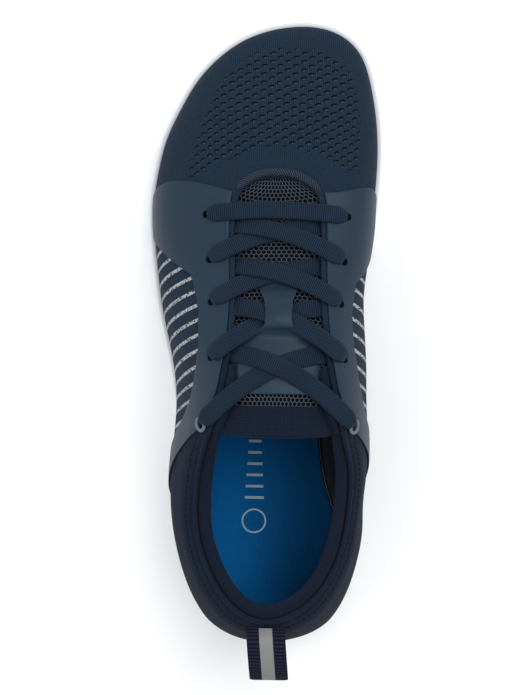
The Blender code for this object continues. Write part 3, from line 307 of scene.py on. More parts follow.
def periodic_spline(at, values, where):
    """Cubic through values at the knots `at` in [0, 1), closed on itself, read at `where`."""
    order = np.argsort(at)
    knots, data = np.asarray(at)[order], np.asarray(values, float)[order]
    count = len(knots)
    steps = np.diff(np.append(knots, knots[0] + 1.0))
    rise = np.diff(np.append(data, data[0])) / steps
    matrix = np.zeros((count, count))
    right = np.zeros(count)
    for i in range(count):
        before = steps[i - 1]
        after = steps[i]
        matrix[i, i] = 2 * (before + after)
        matrix[i, i - 1] += before
        matrix[i, (i + 1) % count] += after
        right[i] = 6 * (rise[i] - rise[i - 1])
    bend = np.linalg.solve(matrix, right)
    where = np.mod(np.asarray(where, float) - knots[0], 1.0) + knots[0]
    index = np.clip(np.searchsorted(knots, where, side="right") - 1, 0, count - 1)
    width = steps[index]
    part = (where - knots[index]) / width
    other = 1 - part
    following = (index + 1) % count
    curve = (part**3 - part) * bend[following] + (other**3 - other) * bend[index]
    return other * data[index] + part * data[following] + curve * width**2 / 6


def turn_of(station, side):
    """Place round the loop, 0 at the heel and 0.5 at the toe, of a station on one side."""
    half = math.acos(1 - 2 * min(max(station, 0.0), 1.0)) / (2 * math.pi)
    return half if side < 0 else (1 - half) % 1.0


OUTLINE_NAMES = ("station", "medial", "lateral", "rim", "tuck")
INNER_ROWS = OUTLINE[1:-1]
OUTLINE_TURNS = (
    [turn_of(row[0], -1) for row in OUTLINE] + [turn_of(row[0], +1) for row in INNER_ROWS]
)


def round_the_sole(name_lateral, name_medial):
    lateral = column(OUTLINE, name_lateral, OUTLINE_NAMES)
    medial = column(INNER_ROWS, name_medial, OUTLINE_NAMES)
    return np.concatenate([lateral, medial])


OUTLINE_X = round_the_sole("lateral", "medial") * BALL_WIDTH
OUTLINE_RIM = round_the_sole("rim", "rim") * RIM_HEIGHT
OUTLINE_TUCK = np.concatenate([
    np.full(len(OUTLINE), LATERAL_TUCK),
    column(INNER_ROWS, "tuck", OUTLINE_NAMES),
]) * RIM_WALL


def sole_edge(turns):
    """Plan points (x, s) of the sole's outline."""
    turns = np.asarray(turns, float)
    x = periodic_spline(OUTLINE_TURNS, OUTLINE_X, turns)
    return np.stack([x, LENGTH * station_of(turns)], -1)


def outward(turns):
    """Unit plan normals of the outline, pointing away from the shoe."""
    step = 1e-4
    turns = np.asarray(turns, float)
    along = sole_edge(turns + step) - sole_edge(turns - step)
    normal = np.stack([-along[..., 1], along[..., 0]], -1)
    return unit(normal)


def tread(s):
    """Height of the tread's own surface above the floor: zero where the shoe stands."""
    share = np.asarray(s, float) / LENGTH
    toe = np.clip((share - 0.70) / 0.30, 0, None) ** 2.0
    heel = np.clip((0.075 - share) / 0.075, 0, None) ** 2.0
    return TOE_SPRING * toe + HEEL_SPRING * heel


def ring(turns, out, height):
    """Points at `out` beyond the outline and `height` above the tread's surface."""
    plan = sole_edge(turns) + outward(turns) * np.reshape(out, (-1, 1))
    return np.column_stack([plan[:, 0], plan[:, 1] - HEEL_TO_ORIGIN, tread(plan[:, 1]) + height])


def rim_top(turns):
    return periodic_spline(OUTLINE_TURNS, OUTLINE_RIM, turns)


def tuck(turns):
    return periodic_spline(OUTLINE_TURNS, OUTLINE_TUCK, turns)


SECTION_NAMES = (
    "side", "foot", "edge_x", "edge_s", "edge_z", "lean", "rise", "reach", "drop",
)
SECTION_TURNS = [turn_of(row[1], row[0]) for row in SECTIONS]


def section_value(name, turns, size=1.0):
    return periodic_spline(SECTION_TURNS, column(SECTIONS, name, SECTION_NAMES) * size, turns)


def opening_edge(turns):
    return np.column_stack([
        section_value("edge_x", turns, BALL_WIDTH),
        section_value("edge_s", turns, LENGTH) - HEEL_TO_ORIGIN,
        section_value("edge_z", turns, INSTEP_HEIGHT),
    ])


def section_handles(turns):
    """The four points of the Bezier that each section follows above the rim."""
    turns = np.asarray(turns, float)
    foot = ring(turns, -(RIM_WALL + FIT_GAP) * np.ones(len(turns)), rim_top(turns))
    edge = opening_edge(turns)
    out = np.column_stack([outward(turns), np.zeros(len(turns))])
    height = (edge[:, 2] - foot[:, 2])[:, None]
    up = np.array([0, 0, 1.0])
    first = foot + out * section_value("lean", turns, BALL_WIDTH)[:, None]
    first = first + up * height * section_value("rise", turns)[:, None]
    second = edge + out * section_value("reach", turns, BALL_WIDTH)[:, None]
    second = second - up * height * section_value("drop", turns)[:, None]
    return foot, first, second, edge


def last_point(turns, ups):
    """Outer surface of the upper at places round the shoe, ups from 0 at the rim to 1 at the edge."""
    a, b, c, d = section_handles(turns)
    u = np.asarray(ups, float)[:, None]
    v = 1 - u
    return v**3 * a + 3 * v**2 * u * b + 3 * v * u**2 * c + u**3 * d


def last_normal(turns, ups):
    turns = np.asarray(turns, float)
    ups = np.asarray(ups, float)
    step = 2e-3
    high = np.minimum(ups + step, 1.0)
    low = np.maximum(high - 2 * step, 0.0)
    along = last_point(turns + step, ups) - last_point(turns - step, ups)
    upward = last_point(turns, high) - last_point(turns, low)
    return unit(np.cross(upward, along))


def off_last(turns, ups, distance):
    """Point at a signed distance outside the upper's outer surface."""
    distance = np.broadcast_to(np.asarray(distance, float), np.shape(turns))
    return last_point(turns, ups) + last_normal(turns, ups) * distance[:, None]


def link(name, points, faces, material, smooth=True):
    """New mesh object in the scene, its faces turned outwards by the caller's order."""
    mesh = bpy.data.meshes.new(name)
    mesh.from_pydata(np.asarray(points, float).tolist(), [], faces)
    mesh.update()
    if smooth:
        mesh.polygons.foreach_set("use_smooth", [True] * len(mesh.polygons))
    made = bpy.data.objects.new(name, mesh)
    bpy.context.scene.collection.objects.link(made)
    if material:
        mesh.materials.append(material)
    return made


def volume(mesh):
    mesh.calc_loop_triangles()
    points = np.empty(len(mesh.vertices) * 3)
    mesh.vertices.foreach_get("co", points)
    corners = np.empty(len(mesh.loop_triangles) * 3, int)
    mesh.loop_triangles.foreach_get("vertices", corners)
    a, b, c = (points.reshape(-1, 3)[corners.reshape(-1, 3)[:, k]] for k in range(3))
    return float(np.einsum("ij,ij->i", a, np.cross(b, c)).sum() / 6)


def out_facing(made):
    if volume(made.data) < 0:
        made.data.flip_normals()
    return made


def grid_faces(rows, columns, closed_rows=False, closed_columns=False):
    """Quads over a grid of points stored row by row."""
    i = np.arange(rows if closed_rows else rows - 1)[:, None]
    j = np.arange(columns if closed_columns else columns - 1)[None, :]
    i2, j2 = (i + 1) % rows, (j + 1) % columns
    quads = np.stack([
        i * columns + j, i * columns + j2, i2 * columns + j2, i2 * columns + j,
    ], -1)
    return quads.reshape(-1, 4).tolist()


def put_uv(made, uv):
    """One UV map from values per vertex, in metres along the surface."""
    mesh = made.data
    layer = mesh.uv_layers.new(name=CLOTH_MAP)
    corners = np.empty(len(mesh.loops), int)
    mesh.loops.foreach_get("vertex_index", corners)
    layer.data.foreach_set("uv", np.asarray(uv, np.float32)[corners].reshape(-1))


def put_value(made, name, values):
    attribute = made.data.attributes.new(name, "FLOAT", "POINT")
    attribute.data.foreach_set("value", np.asarray(values, np.float32).reshape(-1))


def smooth_step(low, high, value):
    share = np.clip((np.asarray(value, float) - low) / (high - low), 0, 1)
    return share * share * (3 - 2 * share)


# Node trees and finishes

def wire(tree, kind, inputs=None, **settings):
    """New node with its settings made and its inputs linked or set."""
    node = tree.nodes.new(kind)
    for name, value in settings.items():
        setattr(node, name, value)
    for key, value in (inputs or {}).items():
        if isinstance(value, bpy.types.NodeSocket):
            tree.links.new(value, node.inputs[key])
        else:
            node.inputs[key].default_value = value
    return node


def calc(tree, operation, a, b=0.0, c=0.0):
    return wire(tree, "ShaderNodeMath", {0: a, 1: b, 2: c}, operation=operation).outputs[0]


def plus(tree, a, b):
    return calc(tree, "ADD", a, b)


def minus(tree, a, b):
    return calc(tree, "SUBTRACT", a, b)


def times(tree, a, b):
    return calc(tree, "MULTIPLY", a, b)


def over(tree, a, b):
    return calc(tree, "DIVIDE", a, b)


def times_plus(tree, a, b, c):
    return calc(tree, "MULTIPLY_ADD", a, b, c)


def ramp(tree, value, low, high, first=0.0, last=1.0):
    """Smooth step of a value from `low` to `high`."""
    return wire(
        tree, "ShaderNodeMapRange", {0: value, 1: low, 2: high, 3: first, 4: last},
        interpolation_type="SMOOTHSTEP",
    ).outputs[0]


def blend(tree, share, a, b):
    """Mix of two colours."""
    node = wire(tree, "ShaderNodeMix", data_type="RGBA")
    for socket, value in ((node.inputs[0], share), (node.inputs[6], a), (node.inputs[7], b)):
        if isinstance(value, bpy.types.NodeSocket):
            tree.links.new(value, socket)
        elif isinstance(value, (int, float)):
            socket.default_value = value
        else:
            socket.default_value = (*value[:3], 1)
    return node.outputs[2]


def effect(name, inputs, outputs):
    """New shader node group: (tree, its input sockets, a function that sets its outputs)."""
    tree = bpy.data.node_groups.new(name, "ShaderNodeTree")
    for label, default in inputs:
        socket = tree.interface.new_socket(label, in_out="INPUT", socket_type="NodeSocketFloat")
        socket.default_value = default
    for label in outputs:
        tree.interface.new_socket(label, in_out="OUTPUT", socket_type="NodeSocketFloat")
    entry, leave = tree.nodes.new("NodeGroupInput"), tree.nodes.new("NodeGroupOutput")

    def give(*values):
        for socket, value in zip(leave.inputs, values):
            tree.links.new(value, socket)

    return tree, entry.outputs, give


def make_effects():
    """The effects that several finishes share."""
    tree, get, give = effect("Ribs", (("Along", 0.0), ("Pitch", 0.001)), ("Height",))
    phase = times(tree, over(tree, get[0], get[1]), 2 * math.pi)
    give(times_plus(tree, calc(tree, "COSINE", phase), 0.5, 0.5))

    # Rows of small pits, every other row moved by half a step, each with a painted highlight, a light
    # spot, beside it
    tree, get, give = effect(
        "Knit pits", (("Across", 0.0), ("Along", 0.0), ("Step", 0.004), ("Row", 0.0024)),
        ("Pit", "Painted highlight"),
    )
    row = over(tree, get[1], get[3])
    odd = calc(tree, "MODULO", calc(tree, "FLOOR", plus(tree, row, 1000)), 2)
    place = plus(tree, over(tree, get[0], get[2]), times(tree, odd, 0.5))
    x = times(tree, minus(tree, calc(tree, "FRACT", place), 0.5), get[2])
    y = times(tree, minus(tree, calc(tree, "FRACT", row), 0.5), get[3])

    def blob(dx, dy, angle, long, short):
        a, b = minus(tree, x, dx), minus(tree, y, dy)
        c, s = math.cos(angle), math.sin(angle)
        p = plus(tree, times(tree, a, c), times(tree, b, s))
        q = minus(tree, times(tree, b, c), times(tree, a, s))
        p, q = over(tree, p, long), over(tree, q, short)
        reach = calc(tree, "SQRT", times_plus(tree, p, p, times(tree, q, q)))
        return ramp(tree, reach, 1.25, 0.65)

    pit = calc(tree, "MAXIMUM", blob(0.0003, 0.0003, 0.0, 0.0012, 0.00041),
               blob(-0.0008, -0.0001, 0.8, 0.0008, 0.00040))
    # The second output is the painted highlight: a light spot beside each pit, towards the heel.
    give(pit, blob(0.0003, -0.00045, 0.1, 0.00085, 0.00036))

    tree, get, give = effect("Thread grain", (("Size", 0.0006),), ("Tone",))
    where = wire(tree, "ShaderNodeTexCoord").outputs["Object"]
    scale = over(tree, 1.0, get[0])
    give(wire(tree, "ShaderNodeTexNoise", {"Vector": where, "Scale": scale, "Detail": 2.0}).outputs[0])


def use(tree, name, inputs):
    return wire(tree, "ShaderNodeGroup", inputs, node_tree=bpy.data.node_groups[name]).outputs


def finish(name, roughness, specular=0.07):
    """New material: (material, tree, shader node, U, V)."""
    material = bpy.data.materials.new(name)
    material.use_nodes = True
    tree = material.node_tree
    shader = tree.nodes["Principled BSDF"]
    shader.inputs["Roughness"].default_value = roughness
    shader.inputs["Specular IOR Level"].default_value = specular
    uv = wire(tree, "ShaderNodeUVMap", uv_map=CLOTH_MAP).outputs[0]
    parts = wire(tree, "ShaderNodeSeparateXYZ", {0: uv}).outputs
    return material, tree, shader, parts[0], parts[1]


def paint(tree, shader, colour):
    if isinstance(colour, bpy.types.NodeSocket):
        tree.links.new(colour, shader.inputs["Base Color"])
    else:
        shader.inputs["Base Color"].default_value = (*colour[:3], 1)


def emboss(tree, shader, height, depth):
    node = wire(tree, "ShaderNodeBump", {"Height": height, "Distance": depth, "Strength": 1.0})
    tree.links.new(node.outputs[0], shader.inputs["Normal"])


def mark(tree, name):
    return wire(tree, "ShaderNodeAttribute", attribute_name=name).outputs["Fac"]


def shade(colour, factor):
    return tuple(min(1.0, c * factor) for c in colour[:3])


def tones(tree, share, colour, dark, light):
    """Mix of two strengths of one colour."""
    return blend(tree, share, shade(colour, dark), shade(colour, light))


def ribs_of(tree, along, pitch):
    return use(tree, "Ribs", {0: along, 1: pitch})[0]


def grain_of(tree, size):
    return use(tree, "Thread grain", {0: size})[0]


def cover_with_fuzz(shader):
    shader.inputs["Sheen Weight"].default_value = 0.03


def knit_finish(colours):
    material, tree, shader, u, v = finish("Knit", 0.85)
    airy, zone, lining = mark(tree, "airy"), mark(tree, "stripes"), mark(tree, "lining")
    wales = ribs_of(tree, u, 0.00092)
    courses = ribs_of(tree, v, 0.00075)
    pit, painted_highlight = use(tree, "Knit pits", {0: u, 1: v, 2: 0.0070, 3: 0.00195})[:2]
    pit, painted_highlight = times(tree, pit, airy), times(tree, painted_highlight, airy)
    grain = grain_of(tree, 0.0010)
    weave = times(tree, wales, times_plus(tree, courses, 0.45, 0.55))
    weave = times_plus(tree, grain, 0.5, times(tree, weave, 0.6))
    cloth = tones(tree, weave, colours.knit, 0.38, 1.6)
    cloth = blend(tree, lining, cloth, tones(tree, grain, colours.quarter, 0.8, 1.2))
    # Painted shade: the pits are painted near black.
    cloth = blend(tree, times(tree, pit, 0.97), cloth, shade(colours.knit, 0.04))
    # Painted highlight: a light spot beside each pit.
    cloth = blend(tree, times(tree, painted_highlight, 0.45), cloth, shade(colours.knit, 2.6))
    # Lighter yarn comes through in slanting rows.
    phase = calc(tree, "FRACT", mark(tree, "phase"))
    bar = ramp(tree, calc(tree, "ABSOLUTE", minus(tree, phase, 0.5)), 0.145, 0.09)
    bar = times(tree, bar, ramp(tree, grain, 0.36, 0.50))
    bar = times(tree, bar, zone)
    cloth = blend(tree, bar, cloth, colours.stripe)
    paint(tree, shader, cloth)
    height = times_plus(tree, pit, -2.2, weave)
    height = times_plus(tree, bar, 0.5, height)
    emboss(tree, shader, height, 0.00028)
    cover_with_fuzz(shader)
    return material


def lining_finish(colours):
    material, tree, shader, u, v = finish("Collar cloth", 0.9)
    ribs = ribs_of(tree, v, 0.0012)
    cross = ribs_of(tree, u, 0.0008)
    grain = grain_of(tree, 0.0008)
    tone = times_plus(tree, grain, 0.7, times(tree, ribs, 0.3))
    paint(tree, shader, tones(tree, tone, colours.lining, 0.7, 1.35))
    emboss(tree, shader, times_plus(tree, cross, 0.5, ribs), 0.00012)
    cover_with_fuzz(shader)
    return material


def film_finish(colours):
    material, tree, shader, _, _ = finish("Film", 0.45, 0.16)
    broad = grain_of(tree, 0.03)
    paint(tree, shader, tones(tree, broad, colours.film, 0.86, 1.14))
    emboss(tree, shader, grain_of(tree, 0.0009), 0.00003)
    shader.inputs["Coat Weight"].default_value = 0.04
    shader.inputs["Coat Roughness"].default_value = 0.35
    return material


def lace_finish(colours):
    material, tree, shader, u, v = finish("Lace", 0.8)
    ribs = ribs_of(tree, u, 0.0009)
    fine = ribs_of(tree, v, 0.0006)
    tone = times_plus(tree, fine, 0.12, times(tree, ribs, 0.88))
    paint(tree, shader, tones(tree, tone, colours.lace, 0.35, 1.45))
    emboss(tree, shader, fine, 0.00008)
    cover_with_fuzz(shader)
    return material


def piping_finish(colours):
    material, tree, shader, u, v = finish("Piping", 0.9)
    ribs = ribs_of(tree, times_plus(tree, v, 0.7, u), 0.0011)
    grain = grain_of(tree, 0.0005)
    tone = ramp(tree, times(tree, plus(tree, ribs, grain), 0.5), 0.3, 0.75)
    paint(tree, shader, tones(tree, tone, colours.piping, 0.35, 1.6))
    emboss(tree, shader, tone, 0.0002)
    return material


def rubber_finish(colours):
    material, tree, shader, _, _ = finish("Sole rubber", 0.5, 0.35)
    broad = grain_of(tree, 0.02)
    paint(tree, shader, tones(tree, broad, colours.rubber, 0.95, 1.05))
    emboss(tree, shader, grain_of(tree, 0.0007), 0.00003)
    return material


def foam_finish(colours):
    material, tree, shader, _, _ = finish("Insole foam", 0.75)
    where = wire(tree, "ShaderNodeTexCoord").outputs["Object"]
    x, y, _ = wire(tree, "ShaderNodeSeparateXYZ", {0: where}).outputs
    slant = ribs_of(tree, plus(tree, x, y), 0.0016)
    other = ribs_of(tree, minus(tree, x, y), 0.0016)
    # Painted light and shade: the insole is painted lighter towards its outer side (-X) and darker
    # towards its inner side.
    side = ramp(tree, x, -0.022, 0.022)
    paint(tree, shader, tones(tree, side, colours.insole, 2.0, 0.72))
    emboss(tree, shader, times(tree, slant, other), 0.00015)
    return material


def webbing_finish(colours):
    material, tree, shader, u, v = finish("Webbing", 0.85)
    ribs = ribs_of(tree, u, 0.0016)
    fine = ribs_of(tree, u, 0.0005)
    middle = ramp(tree, calc(tree, "ABSOLUTE", v), 0.0030, 0.0027)
    dark = tones(tree, ribs, colours.webbing, 0.4, 1.5)
    pale = tones(tree, fine, colours.reflector, 0.8, 1.1)
    paint(tree, shader, blend(tree, middle, dark, pale))
    side = minus(tree, 1.0, middle)
    height = times(tree, ribs, side)
    emboss(tree, shader, times_plus(tree, fine, 0.15, height), 0.0003)
    tree.links.new(ramp(tree, middle, 0, 1, 0.85, 0.5), shader.inputs["Roughness"])
    return material


def plain_finish(name, colour, roughness):
    material, tree, shader, _, _ = finish(name, roughness)
    paint(tree, shader, colour)
    return material


def finish_named(name):
    """The material of that name, made with the others when the first piece asks for it."""
    if name not in bpy.data.materials:
        colours = bpy.context.scene.shoe_colours
        make_effects()
        for make in (knit_finish, lining_finish, film_finish, lace_finish, piping_finish,
                     rubber_finish, foam_finish, webbing_finish):
            make(colours)
        plain_finish("Tongue cloth", colours.net_base, 0.95)
        plain_finish("Net thread", colours.net, 0.85)
        plain_finish("Stitch thread", colours.thread, 0.8)
        plain_finish("Eyelet rim", colours.rim, 0.35)
        plain_finish("Insole print", colours.insole_print, 0.6)
        plain_finish("Groove shade", colours.groove, 0.6)
        # Painted shadow inside the lace holes.
        plain_finish("Dark hole", (0.001, 0.0012, 0.002), 1.0)
    return bpy.data.materials[name]


def new_tree(name, inputs):
    """Geometry tree with named inputs: (tree, input sockets by name, output node's socket)."""
    tree = bpy.data.node_groups.new(name, "GeometryNodeTree")
    tree.interface.new_socket("Geometry", in_out="INPUT", socket_type="NodeSocketGeometry")
    for label, kind, default in inputs:
        socket = tree.interface.new_socket(label, in_out="INPUT", socket_type=kind)
        if default is not None:
            socket.default_value = default
    tree.interface.new_socket("Geometry", in_out="OUTPUT", socket_type="NodeSocketGeometry")
    entry, leave = tree.nodes.new("NodeGroupInput"), tree.nodes.new("NodeGroupOutput")
    return tree, entry.outputs, leave.inputs[0]


def close_tree(tree, geometry, material, leave):
    real = wire(tree, "GeometryNodeRealizeInstances", {0: geometry})
    done = wire(tree, "GeometryNodeSetMaterial", {"Geometry": real.outputs[0], "Material": material})
    tree.links.new(done.outputs[0], leave)


def grow(name, source, tree, values):
    """Plain mesh object made by a geometry tree on `source`, which is then removed."""
    modifier = source.modifiers.new(tree.name, "NODES")
    modifier.node_group = tree
    for item in tree.interface.items_tree:
        if item.item_type == "SOCKET" and item.in_out == "INPUT" and item.name in values:
            modifier[item.identifier] = values[item.name]
    graph = bpy.context.evaluated_depsgraph_get()
    mesh = bpy.data.meshes.new_from_object(source.evaluated_get(graph))
    mesh.name = name
    made = bpy.data.objects.new(name, mesh)
    bpy.context.scene.collection.objects.link(made)
    bpy.data.objects.remove(source, do_unlink=True)
    if not mesh.polygons:
        raise RuntimeError(f"{name} came out empty")
    return made


def rod_tree():
    """Rods along every edge of the input."""
    if "Rods along edges" in bpy.data.node_groups:
        return bpy.data.node_groups["Rods along edges"]
    tree, get, leave = new_tree("Rods along edges", (
        ("Radius", "NodeSocketFloat", 0.0002), ("Sides", "NodeSocketInt", 5),
        ("Material", "NodeSocketMaterial", None),
    ))
    curve = wire(tree, "GeometryNodeMeshToCurve", {"Mesh": get[0]}).outputs[0]
    circle = wire(tree, "GeometryNodeCurvePrimitiveCircle", {"Resolution": get[2], "Radius": get[1]})
    rods = wire(tree, "GeometryNodeCurveToMesh", {
        "Curve": curve, "Profile Curve": circle.outputs[0], "Fill Caps": True,
    })
    smooth = wire(tree, "GeometryNodeSetShadeSmooth", {0: rods.outputs[0]})
    close_tree(tree, smooth.outputs[0], get[3], leave)
    return tree


def stitch_tree():
    """Short stitches set end to end along the input's edges."""
    if "Stitches" in bpy.data.node_groups:
        return bpy.data.node_groups["Stitches"]
    tree, get, leave = new_tree("Stitches", (
        ("Step", "NodeSocketFloat", 0.0026), ("Length", "NodeSocketFloat", 0.0019),
        ("Radius", "NodeSocketFloat", 0.00022), ("Material", "NodeSocketMaterial", None),
    ))
    curve = wire(tree, "GeometryNodeMeshToCurve", {"Mesh": get[0]}).outputs[0]
    points = wire(tree, "GeometryNodeCurveToPoints", {"Curve": curve, "Length": get[1]},
                  mode="LENGTH")
    ball = wire(tree, "GeometryNodeMeshUVSphere", {
        "Segments": 8, "Rings": 6, "Radius": get[3],
    }).outputs[0]
    longer = over(tree, get[2], times(tree, get[3], 2))
    size = wire(tree, "ShaderNodeCombineXYZ", {0: 1.0, 1: 1.0, 2: longer}).outputs[0]
    placed = wire(tree, "GeometryNodeInstanceOnPoints", {
        "Points": points.outputs["Points"], "Instance": ball,
        "Rotation": points.outputs["Rotation"], "Scale": size,
    })
    smooth = wire(tree, "GeometryNodeSetShadeSmooth", {0: placed.outputs[0]})
    close_tree(tree, smooth.outputs[0], get[4], leave)
    return tree


def rib_tree():
    """Raises ribs across a woven band: the input's `along` and `face` say where and which way."""
    if "Woven ribs" in bpy.data.node_groups:
        return bpy.data.node_groups["Woven ribs"]
    tree, get, leave = new_tree("Woven ribs", (
        ("Pitch", "NodeSocketFloat", 0.0009), ("Height", "NodeSocketFloat", 0.00022),
        ("Material", "NodeSocketMaterial", None),
    ))
    along = wire(tree, "GeometryNodeInputNamedAttribute", {"Name": "along"}, data_type="FLOAT")
    face = wire(tree, "GeometryNodeInputNamedAttribute", {"Name": "face"}, data_type="FLOAT")
    turn = times(tree, over(tree, along.outputs[0], get[1]), 2 * math.pi)
    wave = times_plus(tree, calc(tree, "COSINE", turn), 0.5, -0.5)
    lift = times(tree, times(tree, wave, get[2]), face.outputs[0])
    normal = wire(tree, "GeometryNodeInputNormal").outputs[0]
    offset = wire(tree, "ShaderNodeVectorMath", {0: normal, 3: lift}, operation="SCALE").outputs[0]
    moved = wire(tree, "GeometryNodeSetPosition", {"Geometry": get[0], "Offset": offset})
    close_tree(tree, moved.outputs[0], get[3], leave)
    return tree


def scatter_tree(template):
    """A copy of the template on each point, turned and sized by the point's own values."""
    tree, get, leave = new_tree("Tread elements", (
        ("Size", "NodeSocketFloat", 1.0), ("Material", "NodeSocketMaterial", None),
    ))
    shape = wire(tree, "GeometryNodeObjectInfo", {"Object": template})
    turn = wire(tree, "GeometryNodeInputNamedAttribute", {"Name": "turn"},
                data_type="FLOAT_VECTOR").outputs[0]
    size = wire(tree, "GeometryNodeInputNamedAttribute", {"Name": "size"},
                data_type="FLOAT_VECTOR").outputs[0]
    size = wire(tree, "ShaderNodeVectorMath", {0: size, 3: get[1]}, operation="SCALE").outputs[0]
    points = wire(tree, "GeometryNodeMeshToPoints", {"Mesh": get[0]}).outputs[0]
    placed = wire(tree, "GeometryNodeInstanceOnPoints", {
        "Points": points, "Instance": shape.outputs["Geometry"], "Rotation": turn, "Scale": size,
    })
    close_tree(tree, placed.outputs[0], get[2], leave)
    return tree


AROUND = 288              # steps round the shoe on its smooth pieces


# The shoe's ridge, in metres: y with x, and y with z
RIDGE_X = ((-0.06, 0.05, 0.22), (0.005, 0.006, 0.012))
RIDGE_Z = ((-0.06, 0.06, 0.15, 0.22), (0.066, 0.074, 0.047, 0.025))
RIDGE_ROUNDING = 0.022
WALL_STRETCH = 0.75


def cloth_uv(points):
    """Distances across and along, in metres, that keep a pattern from stretching down the walls."""
    points = np.asarray(points)
    ridge = np.interp(points[:, 1], *RIDGE_X)
    top = np.interp(points[:, 1], *RIDGE_Z)
    side = np.tanh((points[:, 0] - ridge) / RIDGE_ROUNDING)
    across = points[:, 0] - ridge + side * WALL_STRETCH * np.maximum(0, top - points[:, 2])
    return np.column_stack([across, points[:, 1]])


def cap_faces(count, start, turned):
    """Quads across a ring whose first point is at the heel and whose middle one is at the toe."""
    faces = []
    for i in range(count // 2):
        c, d = (count - i - 1) % count, (count - i) % count
        face = tuple(start + k for k in dict.fromkeys((i, i + 1, c, d)))
        faces.append(face[::-1] if turned else face)
    return faces


def build_upper(material):
    turns = np.arange(AROUND) / AROUND
    ups = np.concatenate([np.linspace(0, 0.9, 50), np.linspace(0.915, 1.0, 10)])
    out = np.column_stack([outward(turns), np.zeros(AROUND)])
    foot = ring(turns, -(tuck(turns) + RIM_WALL + FIT_GAP), np.full(AROUND, BASE_TOP + FIT_GAP))
    outer, inner, heights = [foot], [foot - out * UPPER_WALL], [0.0]
    for up in ups:
        at = np.full(AROUND, up)
        outer.append(off_last(turns, at, upper_relief(turns, at)))
        inner.append(last_point(turns, at) - out * UPPER_WALL if up == 0 else
                     off_last(turns, at, -UPPER_WALL))
        heights.append(up)
    crest = unit(outer[-1] - outer[-2])
    brow = [
        outer[-1] * (1 - s) + inner[-1] * s + crest * UPPER_WALL * 0.45 * math.sin(math.pi * s)
        for s in (0.25, 0.5, 0.75)
    ]
    inside = list(inner[::-1])[::2] + ([inner[0]] if len(inner) % 2 == 0 else [])
    rings = outer + brow + inside
    points = np.concatenate(rings)
    faces = grid_faces(len(rings), AROUND, closed_rows=True, closed_columns=True)
    made = out_facing(link("Upper", points, faces, material))
    put_uv(made, cloth_uv(points))
    high = np.concatenate([np.full(AROUND, h) for h in heights + [1.0] * 3] + [
        np.full(AROUND, -1.0) for _ in inside
    ])
    dress_upper(made, station_of(np.tile(turns, len(rings))), high)
    return made


HEEL_SWELL = 0.0029
COLLAR_SWELL = 0.0007
SEAM_DIP = 0.0006
TOE_DIP = 0.0004


def upper_relief(turns, ups):
    """Soft troughs and swells of the shell, in metres."""
    foot = station_of(turns)
    # The heel is fuller than the sole under it.
    round_heel = smooth_step(0.44, 0.26, foot) * (0.35 + 0.65 * smooth_step(0.0, 0.05, foot))
    relief = HEEL_SWELL * round_heel * np.sin(np.pi * np.clip((ups - 0.04) / 0.90, 0, 1)) ** 0.8
    # The padded collar swells below its seam.
    collar = smooth_step(0.42, 0.30, foot)
    relief += collar * COLLAR_SWELL * np.exp(-((ups - 0.80) / 0.09) ** 2)
    relief -= collar * SEAM_DIP * np.exp(-((ups - 0.955) / 0.025) ** 2)
    # Flex troughs over the toes.
    over_toes = np.exp(-((foot - 0.90) / 0.02) ** 2) * np.exp(-((ups - 0.55) / 0.2) ** 2)
    relief -= TOE_DIP * over_toes
    return relief


def build_sole(material):
    turns = np.arange(AROUND) / AROUND
    tucks, tops = tuck(turns), rim_top(turns) - FIT_GAP
    zero, one = np.zeros(AROUND), np.ones(AROUND)
    profile = [
        (-tucks - 0.0012, LUG_HEIGHT * one), (-tucks - 0.0003, (LUG_HEIGHT + 0.0002) * one),
        (-tucks, (LUG_HEIGHT + 0.0009) * one),
    ]
    for share, bow in ((0.25, 0.55), (0.5, 0.25), (0.75, 0.08)):
        profile.append((-tucks * bow, LUG_HEIGHT + (tops - LUG_HEIGHT) * share))
    profile += [
        (zero, tops - 0.0009), (zero - 0.0002, tops - 0.0003), (zero - 0.0007, tops),
        (zero - RIM_WALL + 0.0006, tops), (zero - RIM_WALL + 0.0001, tops - 0.0002),
        (zero - RIM_WALL, tops - 0.0007), (-tucks - RIM_WALL, BASE_TOP * one),
    ]
    rings = [ring(turns, out, height) for out, height in profile]
    points = np.concatenate(rings)
    faces = grid_faces(len(rings), AROUND, closed_columns=True)
    faces += cap_faces(AROUND, 0, True)
    faces += cap_faces(AROUND, (len(rings) - 1) * AROUND, False)
    return out_facing(link("Sole", points, faces, material))


INSOLE_THICKNESS = 0.0030
INSOLE_CLEAR = 0.0002
INSOLE_PROFILE = [
    # out, up
    (0.0, 0.0), (0.0, 0.0022), (-0.0003, 0.0028), (-0.0009, INSOLE_THICKNESS),
    (-0.006, INSOLE_THICKNESS),
]


def build_insole(material):
    turns = np.arange(AROUND) / AROUND
    out = -(tuck(turns) + RIM_WALL + 2 * FIT_GAP + UPPER_WALL + INSOLE_CLEAR)
    rings = [
        ring(turns, out + a, np.full(AROUND, BASE_TOP + FIT_GAP + b)) for a, b in INSOLE_PROFILE
    ]
    points = np.concatenate(rings)
    faces = grid_faces(len(rings), AROUND, closed_columns=True)
    faces += cap_faces(AROUND, 0, True) + cap_faces(AROUND, (len(rings) - 1) * AROUND, False)
    return out_facing(link("Insole", points, faces, material))


PAD_THICKNESS = 0.0062
PAD_DEPTH = 0.026
PAD_CROWN = 0.0026
PAD_START = 0.430
PAD_PROFILE = [
    # down, thickness
    (1.00, 0.00), (0.80, 0.00), (0.62, 0.00), (0.45, 0.00), (0.30, 0.00), (0.15, 0.00),
    (0.06, 0.00), (-0.35, 0.10), (-0.70, 0.24), (-0.92, 0.44), (-1.00, 0.62), (-0.90, 0.80),
    (-0.62, 0.92), (-0.2, 1.00), (0.10, 1.03), (0.22, 0.99), (0.34, 0.90), (0.50, 0.72),
    (0.66, 0.52), (0.84, 0.34), (1.00, 0.22),
]


PAD_SECTIONS = 170


